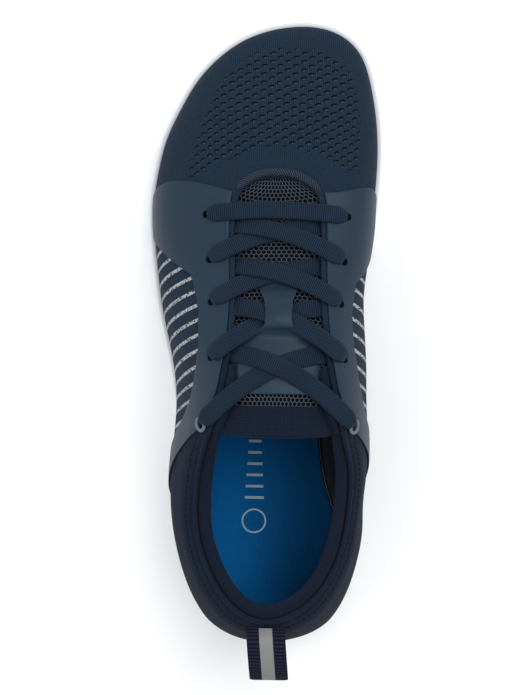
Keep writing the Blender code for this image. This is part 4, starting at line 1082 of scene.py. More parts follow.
def tube(name, rows, material):
    """Closed sections in a row, with an end face on the first and on the last."""
    count, section = rows.shape[:2]
    faces = grid_faces(count, section, closed_columns=True)
    faces.append(tuple(range(section))[::-1])
    faces.append(tuple((count - 1) * section + i for i in range(section)))
    return out_facing(link(name, rows.reshape(-1, 3), faces, material))


def put_tube_uv(made, along, across):
    """Map of a tube from the distances along it and round its section."""
    u = np.repeat(along[:, None], len(across), 1).reshape(-1)
    put_uv(made, np.column_stack([u, np.tile(across, len(along))]))


def build_collar(material):
    """Padded roll: sections from one side round the heel to the other."""
    turns = np.linspace(turn_of(PAD_START, -1), turn_of(PAD_START, +1) - 1, PAD_SECTIONS)
    ups = np.linspace(0.3, 1.0, 90)
    downs, thicks = np.array(PAD_PROFILE).T
    rows = []
    for place, turn in zip(np.linspace(-1, 1, PAD_SECTIONS), turns):
        taper = math.sqrt(max(0.0, 1 - abs(place) ** 6))
        thick = PAD_THICKNESS * (0.25 + 0.75 * taper)
        crown, depth = PAD_CROWN * (0.1 + 0.9 * taper), PAD_DEPTH * (0.45 + 0.55 * taper)
        line = last_point(np.full(len(ups), turn), ups)
        rise = unit(line[-1] - line[-4])
        inside = UPPER_WALL + 1.5 * FIT_GAP + thicks * thick
        at = np.interp(np.maximum(downs, 0) * depth, travel(line[::-1]), ups[::-1])
        section = off_last(np.full(len(at), turn), at, -inside)
        rows.append(section + rise * (crown * np.maximum(-downs, 0))[:, None])
    rows = np.array(rows)
    made = tube("Collar_roll", rows, material)
    put_tube_uv(made, travel(rows[:, 10]), downs * PAD_DEPTH)
    return made


def slab(name, outer, inner, material):
    """Closed solid between two equal grids, rows by columns."""
    rows, columns = outer.shape[:2]
    count = rows * columns
    points = np.concatenate([outer.reshape(-1, 3), inner.reshape(-1, 3)])
    faces = grid_faces(rows, columns)
    faces += [tuple(count + i for i in face[::-1]) for face in grid_faces(rows, columns)]
    rim = list(range(columns)) + [i * columns + columns - 1 for i in range(1, rows)]
    rim += [(rows - 1) * columns + j for j in range(columns - 2, -1, -1)]
    rim += [i * columns for i in range(rows - 2, 0, -1)]
    for a, b in zip(rim, rim[1:] + rim[:1]):
        faces.append((b, a, count + a, count + b))
    return out_facing(link(name, points, faces, material))


def cloth_slab(name, outer, inner, material):
    """Slab whose pattern keeps its size down the shoe's walls."""
    made = slab(name, outer, inner, material)
    put_uv(made, cloth_uv(np.concatenate([outer.reshape(-1, 3), inner.reshape(-1, 3)])))
    return made


FILM = 0.0006
FILM_CLEAR = 0.0003
# How far the front edge moves along the foot at its low and its high end, on either side
FILM_FRONT = {-1: (-0.020, 0.008), 1: (-0.034, 0.018)}
FILM_COLUMNS = 56
FILM_STEPS = 14           # grid rows from one row of the table to the next


def film_grid(side, distance):
    low_foot, low_up, high_foot, high_up = np.array(FILM_ROWS).T
    low_foot[-1] += FILM_FRONT[side][0]
    high_foot[-1] += FILM_FRONT[side][1]
    fine = np.linspace(0, len(FILM_ROWS) - 1, (len(FILM_ROWS) - 1) * FILM_STEPS + 1)
    index = np.arange(len(FILM_ROWS))
    across = np.linspace(0, 1, FILM_COLUMNS)
    rows = []
    for place in fine:
        a, b = np.interp(place, index, low_foot), np.interp(place, index, high_foot)
        c, d = np.interp(place, index, low_up), np.interp(place, index, high_up)
        ends = turn_of(a, -1), turn_of(b, -1)
        turns = ends[0] + (ends[1] - ends[0]) * across
        ups = c + (d - c) * across
        swell = upper_relief(turns, ups)
        rows.append(off_last(turns if side < 0 else 1 - turns, ups, distance + swell))
    return np.array(rows)


def build_film(name, side, material):
    outer = film_grid(side, FILM_CLEAR + FILM)
    return cloth_slab(name, outer, film_grid(side, FILM_CLEAR), material)


PIPING_HALF = (0.0019, 0.0016)            # across and up
PIPING_UP = 0.985


def build_binding(material):
    """Rolled piping over the front edge of the throat."""
    count = 110
    last = turn_of(0.852, -1)
    turns = np.linspace(last, 1 - last, count)
    middle = off_last(turns, np.full(count, PIPING_UP), 0.0001)
    up = last_normal(turns, np.full(count, PIPING_UP))
    side = np.cross(unit(np.gradient(middle, axis=0)), up)
    angles = full_turn(20)
    taper = np.sqrt(np.clip(1 - np.abs(np.linspace(-1, 1, count)) ** 14, 0.06, 1))
    rows = []
    for angle in angles:
        wide, high = PIPING_HALF[0] * math.cos(angle), PIPING_HALF[1] * math.sin(angle)
        rows.append(middle + (side * wide + up * high) * taper[:, None])
    made = tube("Throat_piping", np.array(rows).transpose(1, 0, 2), material)
    put_tube_uv(made, travel(middle), angles * PIPING_HALF[1])
    return made


TONGUE_CLEAR = 0.0012
TONGUE_WALL = 0.0026
TONGUE_SECTIONS = [
    # foot, margin, inset
    (0.855, 0.09, 0.00),
    (0.815, 0.09, 0.00),
    (0.771, 0.09, 0.00),
    (0.720, 0.09, 0.00),
    (0.660, 0.09, 0.00),
    (0.600, 0.085, 0.00),
    (0.540, 0.075, 0.02),
    (0.490, 0.055, 0.12),
    (0.450, 0.040, 0.22),
]
TONGUE_TIP = 0.885
TONGUE_COLUMNS = 15
TONGUE_PULL = 0.75        # how firmly a section leaves its two edges
# The free end spreads to the sides of the opening.
TONGUE_TOP = [
    # step, half width, drop of the sides
    (0.0075, 0.0212, 0.0105), (0.0150, 0.0216, 0.0125), (0.0225, 0.0214, 0.0140),
]


def hermite(a, b, slope_a, slope_b, shares):
    u = np.asarray(shares, float)[:, None]
    return ((2 * u**3 - 3 * u**2 + 1) * a + (u**3 - 2 * u**2 + u) * slope_a
            + (3 * u**2 - 2 * u**3) * b + (u**3 - u**2) * slope_b)


def tongue_rows():
    """Middle surface of the tongue: rows from under the toe box to the free top."""
    depth = UPPER_WALL + TONGUE_CLEAR + TONGUE_WALL / 2
    tip = turn_of(TONGUE_TIP, -1)
    front = np.linspace(tip, 1 - tip, TONGUE_COLUMNS)
    rows = [off_last(front, np.full(TONGUE_COLUMNS, up), -depth) for up in (0.93, 0.985)]
    for foot, margin, inset in TONGUE_SECTIONS:
        sides = []
        for turn in (turn_of(foot, -1), turn_of(foot, +1)):
            ups = np.array([1 - margin, 1 - margin / 2, 0.995])
            sides.append(off_last(np.full(3, turn), ups, -depth))
        middle = (sides[0][2] + sides[1][2]) / 2
        for here in sides:
            here[:, :2] += (middle[:2] - here[2, :2]) * inset
        left, right = sides
        pull = np.linalg.norm(right[2] - left[2]) * TONGUE_PULL
        arch = hermite(
            left[2], right[2], unit(left[2] - left[1]) * pull, unit(right[1] - right[2]) * pull,
            np.linspace(0, 1, TONGUE_COLUMNS - 4),
        )
        rows.append(np.concatenate([left[:2], arch, right[:2][::-1]]))
    last, before = rows[-1], rows[-3]
    climb = unit((last - before).mean(axis=0))
    middle = last[TONGUE_COLUMNS // 2]
    share = np.linspace(-1, 1, TONGUE_COLUMNS)
    for step, half, drop in TONGUE_TOP:
        arch = np.column_stack([half * share, 0 * share, -drop * np.abs(share) ** 2.2])
        rows.append(middle + climb * step + arch)
    return np.array(rows)


def refine(grid, rows, columns):
    """The grid resampled on cubic lines in both directions."""

    def cubic(values, count):
        last = len(values) - 1
        place = np.linspace(0, last, count)
        i = np.minimum(place.astype(int), last - 1)
        u = (place - i).reshape((-1,) + (1,) * (values.ndim - 1))
        a, b = values[np.maximum(i - 1, 0)], values[i]
        c, d = values[i + 1], values[np.minimum(i + 2, last)]
        return 0.5 * (2 * b + (c - a) * u + (2 * a - 5 * b + 4 * c - d) * u**2
                      + (3 * b - a - 3 * c + d) * u**3)

    grid = cubic(np.asarray(grid, float), rows)
    return cubic(grid.transpose(1, 0, 2), columns).transpose(1, 0, 2)


def refine_line(points, count):
    """The line resampled on a cubic."""
    return refine(np.asarray(points)[:, None, :].repeat(2, 1), count, 2)[:, 0]


def grid_normals(points):
    normal = unit(np.cross(np.gradient(points, axis=1), np.gradient(points, axis=0)))
    return normal if normal[..., 2].mean() > 0 else -normal


def tongue_surface():
    return refine(tongue_rows(), 150, 64)


def build_tongue(material):
    middle = tongue_surface()
    normal = grid_normals(middle)
    rows, columns = middle.shape[:2]
    thick = np.full((rows, columns), TONGUE_WALL)
    thick *= np.sqrt(np.clip(1 - np.linspace(-1, 1, columns) ** 8, 0.1, 1))[None, :]
    thick[-3:] *= np.array([0.95, 0.8, 0.45])[:, None]
    half = normal * thick[..., None] / 2
    return cloth_slab("Tongue", middle + half, middle - half, material)


class Ground:
    """Heights of the pieces that a lace or patch lies on."""

    def __init__(self, *pieces):
        self.trees = []
        for made in pieces:
            self.add(made)

    def add(self, made):
        mesh = made.data
        points = [v.co.copy() for v in mesh.vertices]
        self.trees.append(BVHTree.FromPolygons(points, [tuple(p.vertices) for p in mesh.polygons]))

    def top(self, x, y, otherwise=0.0):
        found = []
        for tree in self.trees:
            hit = tree.ray_cast(Vector((x, y, 2 * INSTEP_HEIGHT)), Vector((0, 0, -1)))
            if hit[0] is not None:
                found.append(hit[0].z)
        return max(found) if found else otherwise


def throat_across(station, side):
    turns = np.linspace(0.13, 0.47, 200)
    edge = opening_edge(1 - turns if side > 0 else turns)
    order = np.argsort(edge[:, 1])
    return float(np.interp(along_foot(station), edge[order, 1], edge[order, 0]))


PATCH_CLEAR = 0.0004
PATCH_FILM = 0.0007
PATCH_BULGE = 0.12


def build_patch(material, ground):
    """Film on the tongue, with a bridge that stands off it over the third crossing."""
    across = np.linspace(-0.5, 0.5, 30)
    bulge = 1 + PATCH_BULGE * (1 - (2 * across) ** 2)
    inner = []
    for station, width, lift in refine_line(PATCH_ROWS, 70):
        y = along_foot(station)
        middle = (throat_across(station, -1) + throat_across(station, +1)) / 2
        xs = middle + across * width * BALL_WIDTH
        low = np.array([ground.top(x, y) for x in xs]) + PATCH_CLEAR
        low += max(lift, 0) * LACE_THICKNESS * bulge
        inner.append(np.column_stack([xs, np.full(len(xs), y), low]))
    inner = np.array(inner)
    return cloth_slab("Tongue_patch", inner + np.array([0, 0, PATCH_FILM]), inner, material)


FACING_STATIONS = (0.488, 0.365)
FACING_WIDTH = 0.0062
FACING_THICKNESS = 0.0012
FACING_CROWN = 0.0016


def build_facing(name, side, material):
    """Folded front end of the collar's lining, between the film's edge and the tongue."""
    count, parts = 70, np.linspace(0, 1, 12)
    turns = np.array([turn_of(station, side) for station in np.linspace(*FACING_STATIONS, count)])
    edge = off_last(turns, np.full(count, 0.995), -UPPER_WALL - 0.0003)
    inwards = -np.column_stack([outward(turns), np.zeros(count)])
    wide = FACING_WIDTH * np.sqrt(np.clip(np.linspace(0.02, 5, count), 0, 1))
    wide *= 1 - 0.3 * smooth_step(0.4, 1, np.linspace(0, 1, count))
    outer = []
    for part in parts:
        crown = FACING_CROWN * math.sin(math.pi * min(1, part * 1.05)) - 0.0006 * part**2 + 0.0002
        outer.append(edge + inwards * (wide * part)[:, None] + np.array([0, 0, crown]))
    outer = np.array(outer).transpose(1, 0, 2)
    made = slab(name, outer, outer - np.array([0, 0, FACING_THICKNESS]), material)
    u = np.repeat(np.linspace(0, 0.034, count)[:, None], len(parts), 1)
    v = np.broadcast_to(parts * 0.006, u.shape)
    put_uv(made, np.tile(np.stack([u, v], -1).reshape(-1, 2), (2, 1)))
    return made


TONGUE_BAND = 0.0125
TONGUE_BAND_CLOTH = 0.0006


def build_tongue_band(surface, material):
    """Ribbed binding folded over the tongue's top edge."""
    covered = travel(surface[::-1, 32])[::-1] < TONGUE_BAND
    rows = refine(surface[covered], 120, 48)
    normal = refine(grid_normals(surface)[covered], 120, 48)
    along = travel(rows[:, 24])
    tip = rows[-1] + unit(rows[-1] - rows[-2]) * TONGUE_BAND_CLOTH
    rows = np.concatenate([rows, tip[None]])
    normal = np.concatenate([normal, normal[-1:]])
    along = np.append(along, along[-1] + TONGUE_BAND_CLOTH)
    half = np.full(len(rows), TONGUE_WALL / 2 + TONGUE_BAND_CLOTH)
    half[-6:] *= np.array([0.97, 0.9, 0.8, 0.65, 0.45, 0.2])
    half[0] *= 0.9
    offset = normal * half[:, None, None]
    u = np.repeat(along[:, None], rows.shape[1], 1)
    v = np.broadcast_to(np.linspace(0, 0.04, rows.shape[1]), u.shape)
    return band("Tongue_band", rows + offset, rows - offset, np.stack([u, v], -1), material,
                0.0012, 0.0003)


def taut(at, heights):
    """Heights of a line pulled tight over the given ones."""
    hull = []
    for i in range(len(at)):
        while len(hull) > 1:
            a, b = hull[-2], hull[-1]
            turn = (at[b] - at[a]) * (heights[i] - heights[a])
            turn -= (at[i] - at[a]) * (heights[b] - heights[a])
            if turn < 0:
                break
            hull.pop()
        hull.append(i)
    return np.interp(at, [at[i] for i in hull], [heights[i] for i in hull])


def hole_plan(index, side):
    station, lateral, medial = HOLES[index]
    return (lateral if side < 0 else medial) * BALL_WIDTH, along_foot(station)


LOOP_WIDTH = 0.0165
LOOP_WEBBING = 0.0015
LOOP_REACH = 0.0255
LOOP_LEAN = 0.0022        # how far the loop's end lies to the inner side
LOOP_LINE = [
    # back, up
    (-0.02, +0.010), (0.30, +0.035), (0.66, -0.005), (0.92, -0.090), (1.00, -0.180),
    (0.93, -0.270), (0.72, -0.330), (0.46, -0.380),
]


def loop_line():
    """Side view (y, z) of the pull loop's middle line, from the edge down to the heel."""
    edge = opening_edge(np.array([0.0]))[0]
    line = np.array([(edge[1] - LOOP_REACH * b, edge[2] + edge[2] * up) for b, up in LOOP_LINE])
    ups = np.linspace(0, 1, 120)
    heel = last_point(np.zeros(120), ups)
    for end in (0, -1):
        share = 0.93 if end == 0 else np.interp(line[end, 1], heel[:, 2], ups)
        spot = off_last(np.array([0.0]), np.array([share]), FIT_GAP + LOOP_WEBBING / 2)[0]
        line[end] = spot[1:]
    return refine_line(line, 110), edge[0]


def build_loop(material):
    line, middle_x = loop_line()
    direction = unit(np.gradient(line, axis=0))
    normal = np.column_stack([-direction[:, 1], direction[:, 0]])
    parts = np.linspace(-1, 1, 25)
    thick = LOOP_WEBBING / 2 * np.sqrt(1 - 0.75 * np.abs(parts) ** 10)
    sides = []
    for way in (1, -1):
        spots = line[:, None, :] + normal[:, None, :] * (way * thick)[None, :, None]
        lean = LOOP_LEAN * (line[0, 0] - line[:, 0]) / LOOP_REACH
        x = middle_x + lean[:, None] + parts * LOOP_WIDTH / 2
        sides.append(np.concatenate([x[..., None], spots], axis=2))
    made = slab("Pull_loop", sides[0], sides[1], material)
    u = np.repeat(travel(line)[:, None], len(parts), 1).reshape(-1)
    v = np.tile(parts * LOOP_WIDTH / 2, len(line))
    put_uv(made, np.tile(np.column_stack([u, v]), (2, 1)))
    return made


def hole_frame(index, side, tree):
    x, y = hole_plan(index, side)
    spot, normal, _, _ = tree.ray_cast(Vector((x, y, 2 * INSTEP_HEIGHT)), Vector((0, 0, -1)))
    normal = normal if normal.z > 0 else -normal
    u = normal.cross(Vector((0, 1, 0))).normalized()
    return spot, normal, u, normal.cross(u)


EYELET_RADIUS = 0.0019
RING_RADIUS = 0.0034
RING_HEIGHT = 0.0006
RING_LIFT = 0.0004


def build_rim(name, side, tree, material):
    """Moulded rim of a top lace hole."""
    spot, normal, u, v = (np.array(a) for a in hole_frame(len(HOLES) - 1, side, tree))
    around, b = full_turn(64), full_turn(20)
    middle, half = (RING_RADIUS + EYELET_RADIUS) / 2, (RING_RADIUS - EYELET_RADIUS) / 2
    rows = []
    for a in around:
        out = u * math.cos(a) + v * math.sin(a)
        rise = np.sign(np.sin(b)) * np.abs(np.sin(b)) ** 0.8 * RING_HEIGHT + RING_LIFT
        rows.append(spot + out * (middle + half * np.cos(b))[:, None] + normal * rise[:, None])
    points = np.array(rows).reshape(-1, 3)
    faces = grid_faces(len(around), len(b), closed_rows=True, closed_columns=True)
    return out_facing(link(name, points, faces, material))


def prism(points, faces, low, high):
    start, count = len(points), len(low)
    points.extend(low)
    points.extend(high)
    faces.append(tuple(start + i for i in range(count))[::-1])
    faces.append(tuple(start + count + i for i in range(count)))
    for i in range(count):
        j = (i + 1) % count
        faces.append((start + i, start + j, start + count + j, start + count + i))


def counter_clockwise(plan):
    x, y = np.array(plan).T
    area = (x * np.roll(y, -1) - y * np.roll(x, -1)).sum()
    return list(plan) if area > 0 else list(plan)[::-1]


def tread_block(points, faces, plan, taper, low=0.0):
    """Prism standing out of the base, down to `low` over the tread's surface."""
    plan = np.array(counter_clockwise([tuple(p) for p in plan]))
    middle = plan.mean(axis=0)
    under = middle + (plan - middle) * taper
    bottom = [(p[0], p[1] - HEEL_TO_ORIGIN, float(tread(p[1])) + low) for p in under]
    top = [(p[0], p[1] - HEEL_TO_ORIGIN, float(tread(p[1])) + TREAD_ROOT) for p in plan]
    prism(points, faces, bottom, top)


def lug_places():
    """Tip, way and size of every chevron lug."""
    found = []
    for way, x, s, step_x, step_s, count, width, height in LUG_LINES:
        for i in range(count):
            found.append((
                (x + i * step_x) * BALL_WIDTH, (s + i * step_s) * LENGTH, way,
                width * BALL_WIDTH / 2, height * LENGTH,
            ))
    return found


def bevel(made, width):
    modifier = made.modifiers.new("edges", "BEVEL")
    modifier.width, modifier.segments = width, 2
    modifier.limit_method, modifier.angle_limit = "ANGLE", math.radians(35)


def tip_station(x, inset):
    """Station in metres of the toe edge at x, moved in by `inset`."""
    turns = np.linspace(0.40, 0.60, 400)
    edge = sole_edge(turns) - outward(turns) * inset
    return float(np.interp(x, edge[:, 0], edge[:, 1]))


BAR_INSET = 0.0018
BAR_TIP_INSET = 0.0030
LEAST_BAR = 0.0012


def on_sole(x, s):
    """Whether a plan point lies on the tread, far enough from its edge."""
    turn_low, turn_high = turn_of(s / LENGTH, -1), turn_of(s / LENGTH, +1)
    low, high = sole_edge([turn_low])[0, 0], sole_edge([turn_high])[0, 0]
    return low + BAR_INSET < x < high - BAR_INSET


def build_bars(material):
    points, faces = [], []
    for x_from, x_to, slope, grooves in TOE_BARS:
        for low, high in zip(grooves[:-1], grooves[1:]):
            lower, upper = [], []
            for share in np.linspace(0, 1, 13):
                across = x_from + (x_to - x_from) * share
                shift = slope * (x_from - across) * BALL_WIDTH
                limit = tip_station(across * BALL_WIDTH, BAR_TIP_INSET)
                heel_end = low * LENGTH + shift + TOE_GROOVE / 2
                toe_end = min(high * LENGTH + shift - TOE_GROOVE / 2, limit)
                if toe_end - heel_end > LEAST_BAR and on_sole(across * BALL_WIDTH, heel_end):
                    lower.append((across * BALL_WIDTH, heel_end))
                    upper.append((across * BALL_WIDTH, toe_end))
            if len(lower) > 1:
                tread_block(points, faces, lower + upper[::-1], 0.94)
    made = link("Toe_bars", points, faces, material, smooth=False)
    bevel(made, 0.0004)
    return made


def build_arch(material):
    stations = np.array([row[0] for row in ARCH_PANEL])
    fine = np.linspace(stations[0], stations[-1], 70)
    order = np.argsort(stations)
    outer, inner = (
        np.interp(fine, stations[order], np.array([row[k] for row in ARCH_PANEL])[order])
        for k in (1, 2)
    )
    edge = sole_edge([turn_of(station, +1) for station in fine])
    plan = [(x - away * BALL_WIDTH, s) for (x, s), away in zip(edge, outer)]
    plan += [(x - away * BALL_WIDTH, s) for (x, s), away in zip(edge[::-1], inner[::-1])]
    points, faces = [], []
    tread_block(points, faces, plan, 0.98, low=LUG_HEIGHT - ARCH_PANEL_DROP)
    made = link("Arch_panel", points, faces, material, smooth=False)
    bevel(made, 0.0003)
    return made


BLOCK_SINK = 0.4          # share of the wall's tuck that a block lies in
LOW_BLOCK = 0.45          # height of the inner side's blocks, share of the outer side's
BLOCK_DRAFT = 0.0006


def build_blocks(material):
    points, faces = [], []
    for side, first, last, count, proud in EDGE_BLOCKS:
        for station in np.linspace(first, last, count):
            turn = turn_of(station, side)
            middle, out = sole_edge([turn])[0], outward([turn])[0]
            along = np.array([out[1], -out[0]]) * BLOCK_ALONG / 2
            wall = float((LATERAL_TUCK * RIM_WALL) if side < 0 else tuck([turn])[0])
            near = middle + out * (proud - wall * BLOCK_SINK)
            far = near - out * BLOCK_ACROSS
            plan = counter_clockwise([near - along, near + along, far + along, far - along])
            up = LUG_HEIGHT + LOW_BLOCK * (BLOCK_UP - LUG_HEIGHT) if side > 0 else BLOCK_UP
            shift = -out * BLOCK_DRAFT if side < 0 else out * 0
            low = [(*(np.array(p) + shift - (0, HEEL_TO_ORIGIN)), float(tread(p[1])))
                   for p in plan]
            high = []
            for p in plan:
                far_one = np.dot(np.array(p) - middle, out) < -BLOCK_ACROSS / 2
                rise = TREAD_ROOT if far_one else up
                high.append((p[0], p[1] - HEEL_TO_ORIGIN, float(tread(p[1])) + rise))
            prism(points, faces, low, high)
    made = link("Edge_blocks", points, faces, material, smooth=False)
    bevel(made, 0.0005)
    return made


# Plan of the airy knit on the toe, in metres
AIRY_PLAN = [
    (-0.0075, 0.2042), (-0.0188, 0.1959), (-0.0245, 0.1871), (-0.0285, 0.1771),
    (-0.0333, 0.1627), (-0.0359, 0.1487), (-0.0333, 0.1439), (-0.0250, 0.1522),
    (-0.0149, 0.1552), (-0.0062, 0.1596), (0.0074, 0.1609), (0.0139, 0.1596),
    (0.0244, 0.1561), (0.0362, 0.1500), (0.0397, 0.1500), (0.0406, 0.1688),
    (0.0393, 0.1823), (0.0362, 0.1959), (0.0275, 0.2029), (0.0209, 0.2059), (0.0034, 0.2068),
]
# Front edge of the smooth quarter: heights on the section with their stations
QUARTER_EDGE = ((0.03, 0.30, 0.55, 0.76, 0.92), (0.215, 0.262, 0.312, 0.357, 0.395))
PHASE_PITCH = 0.0066      # stripes, along the foot
PHASE_SLANT = 0.27        # how far a stripe drops for each step outwards


def inside_by(plan, points):
    """Signed distance of points from a closed plan line, positive inside."""
    plan = np.asarray(plan, float)
    points = np.asarray(points, float)
    nearest = np.full(len(points), 1e9)
    crossings = np.zeros(len(points), int)
    for a, b in zip(plan, np.roll(plan, -1, axis=0)):
        along = b - a
        share = np.clip(((points - a) @ along) / (along @ along), 0, 1)
        nearest = np.minimum(nearest, np.linalg.norm(points - a - share[:, None] * along, axis=1))
        spans = (a[1] > points[:, 1]) != (b[1] > points[:, 1])
        rise = along[1] if along[1] else 1e-12
        at = a[0] + (points[:, 1] - a[1]) / rise * along[0]
        crossings += spans & (points[:, 0] < at)
    return np.where(crossings % 2 == 1, nearest, -nearest)


def dress_upper(made, foot, up):
    """Values that the knit's finish reads: airy toe, slanting rows, smooth quarter."""
    mesh = made.data
    points = np.empty(len(mesh.vertices) * 3)
    mesh.vertices.foreach_get("co", points)
    points = points.reshape(-1, 3)
    uv = cloth_uv(points)
    outside = (up >= 0).astype(float)
    airy = smooth_step(-0.0004, 0.0016, inside_by(AIRY_PLAN, points[:, :2]))
    put_value(made, "airy", airy * outside)
    put_value(made, "phase", (-uv[:, 1] - PHASE_SLANT * np.abs(uv[:, 0])) / PHASE_PITCH + 100)
    tail = np.interp(up, *QUARTER_EDGE)
    folded = smooth_step(0.955, 0.975, up) * smooth_step(0.52, 0.50, foot)
    quarter = np.maximum(smooth_step(tail + 0.012, tail - 0.004, foot), folded)
    put_value(made, "lining", np.maximum(quarter, 1 - outside))
    put_value(made, "stripes", smooth_step(tail, tail + 0.010, foot) * outside
              * smooth_step(0.69, 0.67, foot) * smooth_step(0.95, 0.9, up))


def band(name, outer, inner, uv, material, rib_pitch, rib_height):
    """Slab with a UV map and raised ribs across its outer face."""
    made = slab(name + "_plain", outer, inner, material)
    uv = np.tile(uv.reshape(-1, 2), (2, 1))
    put_uv(made, uv)
    put_value(made, "along", uv[:, 0])
    count = outer.shape[0] * outer.shape[1]
    put_value(made, "face", np.r_[np.ones(count), np.zeros(count)])
    return grow(name, made, rib_tree(), {
        "Pitch": rib_pitch, "Height": rib_height, "Material": material,
    })


# How a lace run narrows and sinks into its hole, and hides its start under the throat's edge
NARROWING = 0.0060
SINK = 0.0032
SINK_OVER = 0.0026
BAR_BOW = 0.0022
HIDDEN_START = 0.0068
START_DROP = 0.0016
START_DROP_OVER = (0.0030, 0.0085)
LACE_SLACK = 1.12
LACE_PARTS = 9
LACE_PLACES = 110


def run_mean(values, weights):
    """Moving mean that keeps the length of the line."""
    padded = np.pad(values, len(weights) // 2, mode="edge")
    return np.convolve(padded, weights / weights.sum(), mode="valid")


def lace_run(name, start, end, ground, first_ground, clear, sizes, dips):
    """Flat woven run pulled over what it lies on; `dips` sinks either end into its hole."""
    start, end = np.asarray(start, float), np.asarray(end, float)
    past = unit(end - start) * sizes.lace_past
    start, end = start - past * dips[0], end + past * dips[1]
    count = int(np.linalg.norm(end - start) * LACE_SLACK / (sizes.rib_pitch / 5))
    parts = np.linspace(-1, 1, LACE_PARTS)
    shares = np.linspace(0, 1, LACE_PLACES)
    plan = start + (end - start) * np.column_stack([shares, shares ** sizes.lace_droop])
    if dips[0]:
        plan[:, 1] += BAR_BOW * np.sin(np.pi * shares)
    along = unit(np.gradient(plan, axis=0))
    side = np.column_stack([-along[:, 1], along[:, 0]])
    travelled = travel(plan)
    to_end = np.minimum(
        travelled[-1] - travelled if dips[1] else 1.0, travelled if dips[0] else 1.0
    )
    half = sizes.lace_width / 2 * (0.50 + 0.50 * smooth_step(0, NARROWING, to_end))
    lines = []
    for part in parts:
        spots = plan + side * (half * part)[:, None]
        line = np.array([
            (first_ground if first_ground and gone < HIDDEN_START else ground).top(x, y, math.nan)
            for (x, y), gone in zip(spots, travelled)
        ])
        # A run that starts past the tongue's side starts level with it.
        found = ~np.isnan(line)
        lines.append(taut(travelled, np.interp(travelled, travelled[found], line[found])))
    lines = np.array(lines)
    middle = taut(travelled, lines.mean(axis=0))
    tilt = (lines[-1] - lines[0]) / 2
    rails = middle + parts[:, None] * run_mean(tilt, np.hanning(25))
    need = np.maximum(0, (lines - rails).max(axis=0))
    rails = rails + run_mean(need, np.ones(13)) + clear
    rails = rails - SINK * (1 - smooth_step(0, SINK_OVER, to_end))
    if first_ground:
        rails = rails - START_DROP * (1 - smooth_step(*START_DROP_OVER, travelled))
    inner = np.stack([
        np.column_stack([plan + side * (half * part)[:, None], rail])
        for part, rail in zip(parts, rails)
    ], 1)
    inner = refine(inner, count, len(parts))
    thick = sizes.lace_thickness * (0.50 + 0.50 * np.sqrt(1 - np.abs(parts) ** 4))
    outer = inner + np.array([0, 0, 1.0]) * thick[None, :, None]
    places = np.linspace(0, LACE_PLACES - 1, count)
    gone, width = (np.interp(places, np.arange(LACE_PLACES), row) for row in (travelled, half))
    u = np.tile(gone[:, None], (1, len(parts)))
    uv = np.stack([u, width[:, None] * parts[None, :]], -1)
    return band(name, outer, inner, uv, finish_named("Lace"), sizes.rib_pitch, sizes.rib_height)


HOLE_RADIUS = 0.0018
HOLE_SHIFT = 0.0006       # away from the lace that covers the hole
HOLE_LIFT = 0.00012
HOLE_DEPTH = 0.0010


def hole_disc(name, index, side, tree):
    """Painted shadow: a near-black disc for the shaded inside of a lace hole, seen past the lace's
    end.
    """
    spot, normal, u, v = (np.array(a) for a in hole_frame(index, side, tree))
    middle = spot + u * (HOLE_SHIFT * side) + normal * HOLE_LIFT
    ring_points = [
        middle + HOLE_RADIUS * (u * math.cos(a) + v * math.sin(a)) for a in full_turn(32)
    ]
    low = [p - normal * HOLE_DEPTH for p in ring_points]
    points, faces = [], []
    prism(points, faces, low, ring_points)
    return out_facing(link(name, points, faces, finish_named("Dark hole"), smooth=False))


NET_END = 0.011           # bare length under the top band
NET_MARGIN = 0.015        # bare share at either side


def net_lines(surface, pitch, lift):
    """Honeycomb of lines over a grid surface: (points, edges)."""
    rows, columns = surface.shape[:2]
    normal = grid_normals(surface)
    down, across = travel(surface[:, columns // 2]), travel(surface[rows // 2])
    side = pitch / math.sqrt(3)
    points, index, edges = [], {}, set()

    def corner(a, b):
        key = (round(a / pitch * 12), round(b / pitch * 12))
        if key not in index:
            i = float(np.interp(b, down, np.arange(rows)))
            j = float(np.interp(a, across, np.arange(columns)))
            i0, j0 = min(int(i), rows - 2), min(int(j), columns - 2)
            p, q = i - i0, j - j0
            spot = normal_here = 0
            for di, dj, share in ((0, 0, (1 - p) * (1 - q)), (1, 0, p * (1 - q)),
                                  (0, 1, (1 - p) * q), (1, 1, p * q)):
                spot = spot + surface[i0 + di, j0 + dj] * share
                normal_here = normal_here + normal[i0 + di, j0 + dj] * share
            index[key] = len(points)
            points.append(spot + normal_here * lift)
        return index[key]

    low_b, high_b = down[-1] * 0.03, down[-1] - NET_END
    for m in range(int((high_b - low_b) / (1.5 * side))):
        for n in range(int(across[-1] * (1 - 2 * NET_MARGIN) / pitch)):
            a = across[-1] * NET_MARGIN + pitch * (n + 0.5 + 0.5 * (m % 2))
            b = low_b + 1.5 * side * m + side
            if a + pitch / 2 > across[-1] * (1 - NET_MARGIN) or b + side > high_b:
                continue
            hexagon = [
                corner(a + side * math.cos(t), b + side * math.sin(t))
                for t in (math.pi / 6 + math.pi / 3 * k for k in range(6))
            ]
            for c, d in zip(hexagon, hexagon[1:] + hexagon[:1]):
                edges.add((min(c, d), max(c, d)))
    return points, sorted(edges)


def line_object(name, points, edges):
    """Points and edges for a geometry tree to work on."""
    mesh = bpy.data.meshes.new(name)
    mesh.from_pydata([tuple(p) for p in points], edges, [])
    made = bpy.data.objects.new(name, mesh)
    bpy.context.scene.collection.objects.link(made)
    return made


def one_line(name, line):
    return line_object(name, line, [(i, i + 1) for i in range(len(line) - 1)])


def carry(*pieces):
    """Pieces that add to a node ride on the shoe's one body."""
    for made in pieces:
        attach(made, next(iter(frame["bodies"])))


def stand_for(made, node):
    carry(made)
    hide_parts(node)


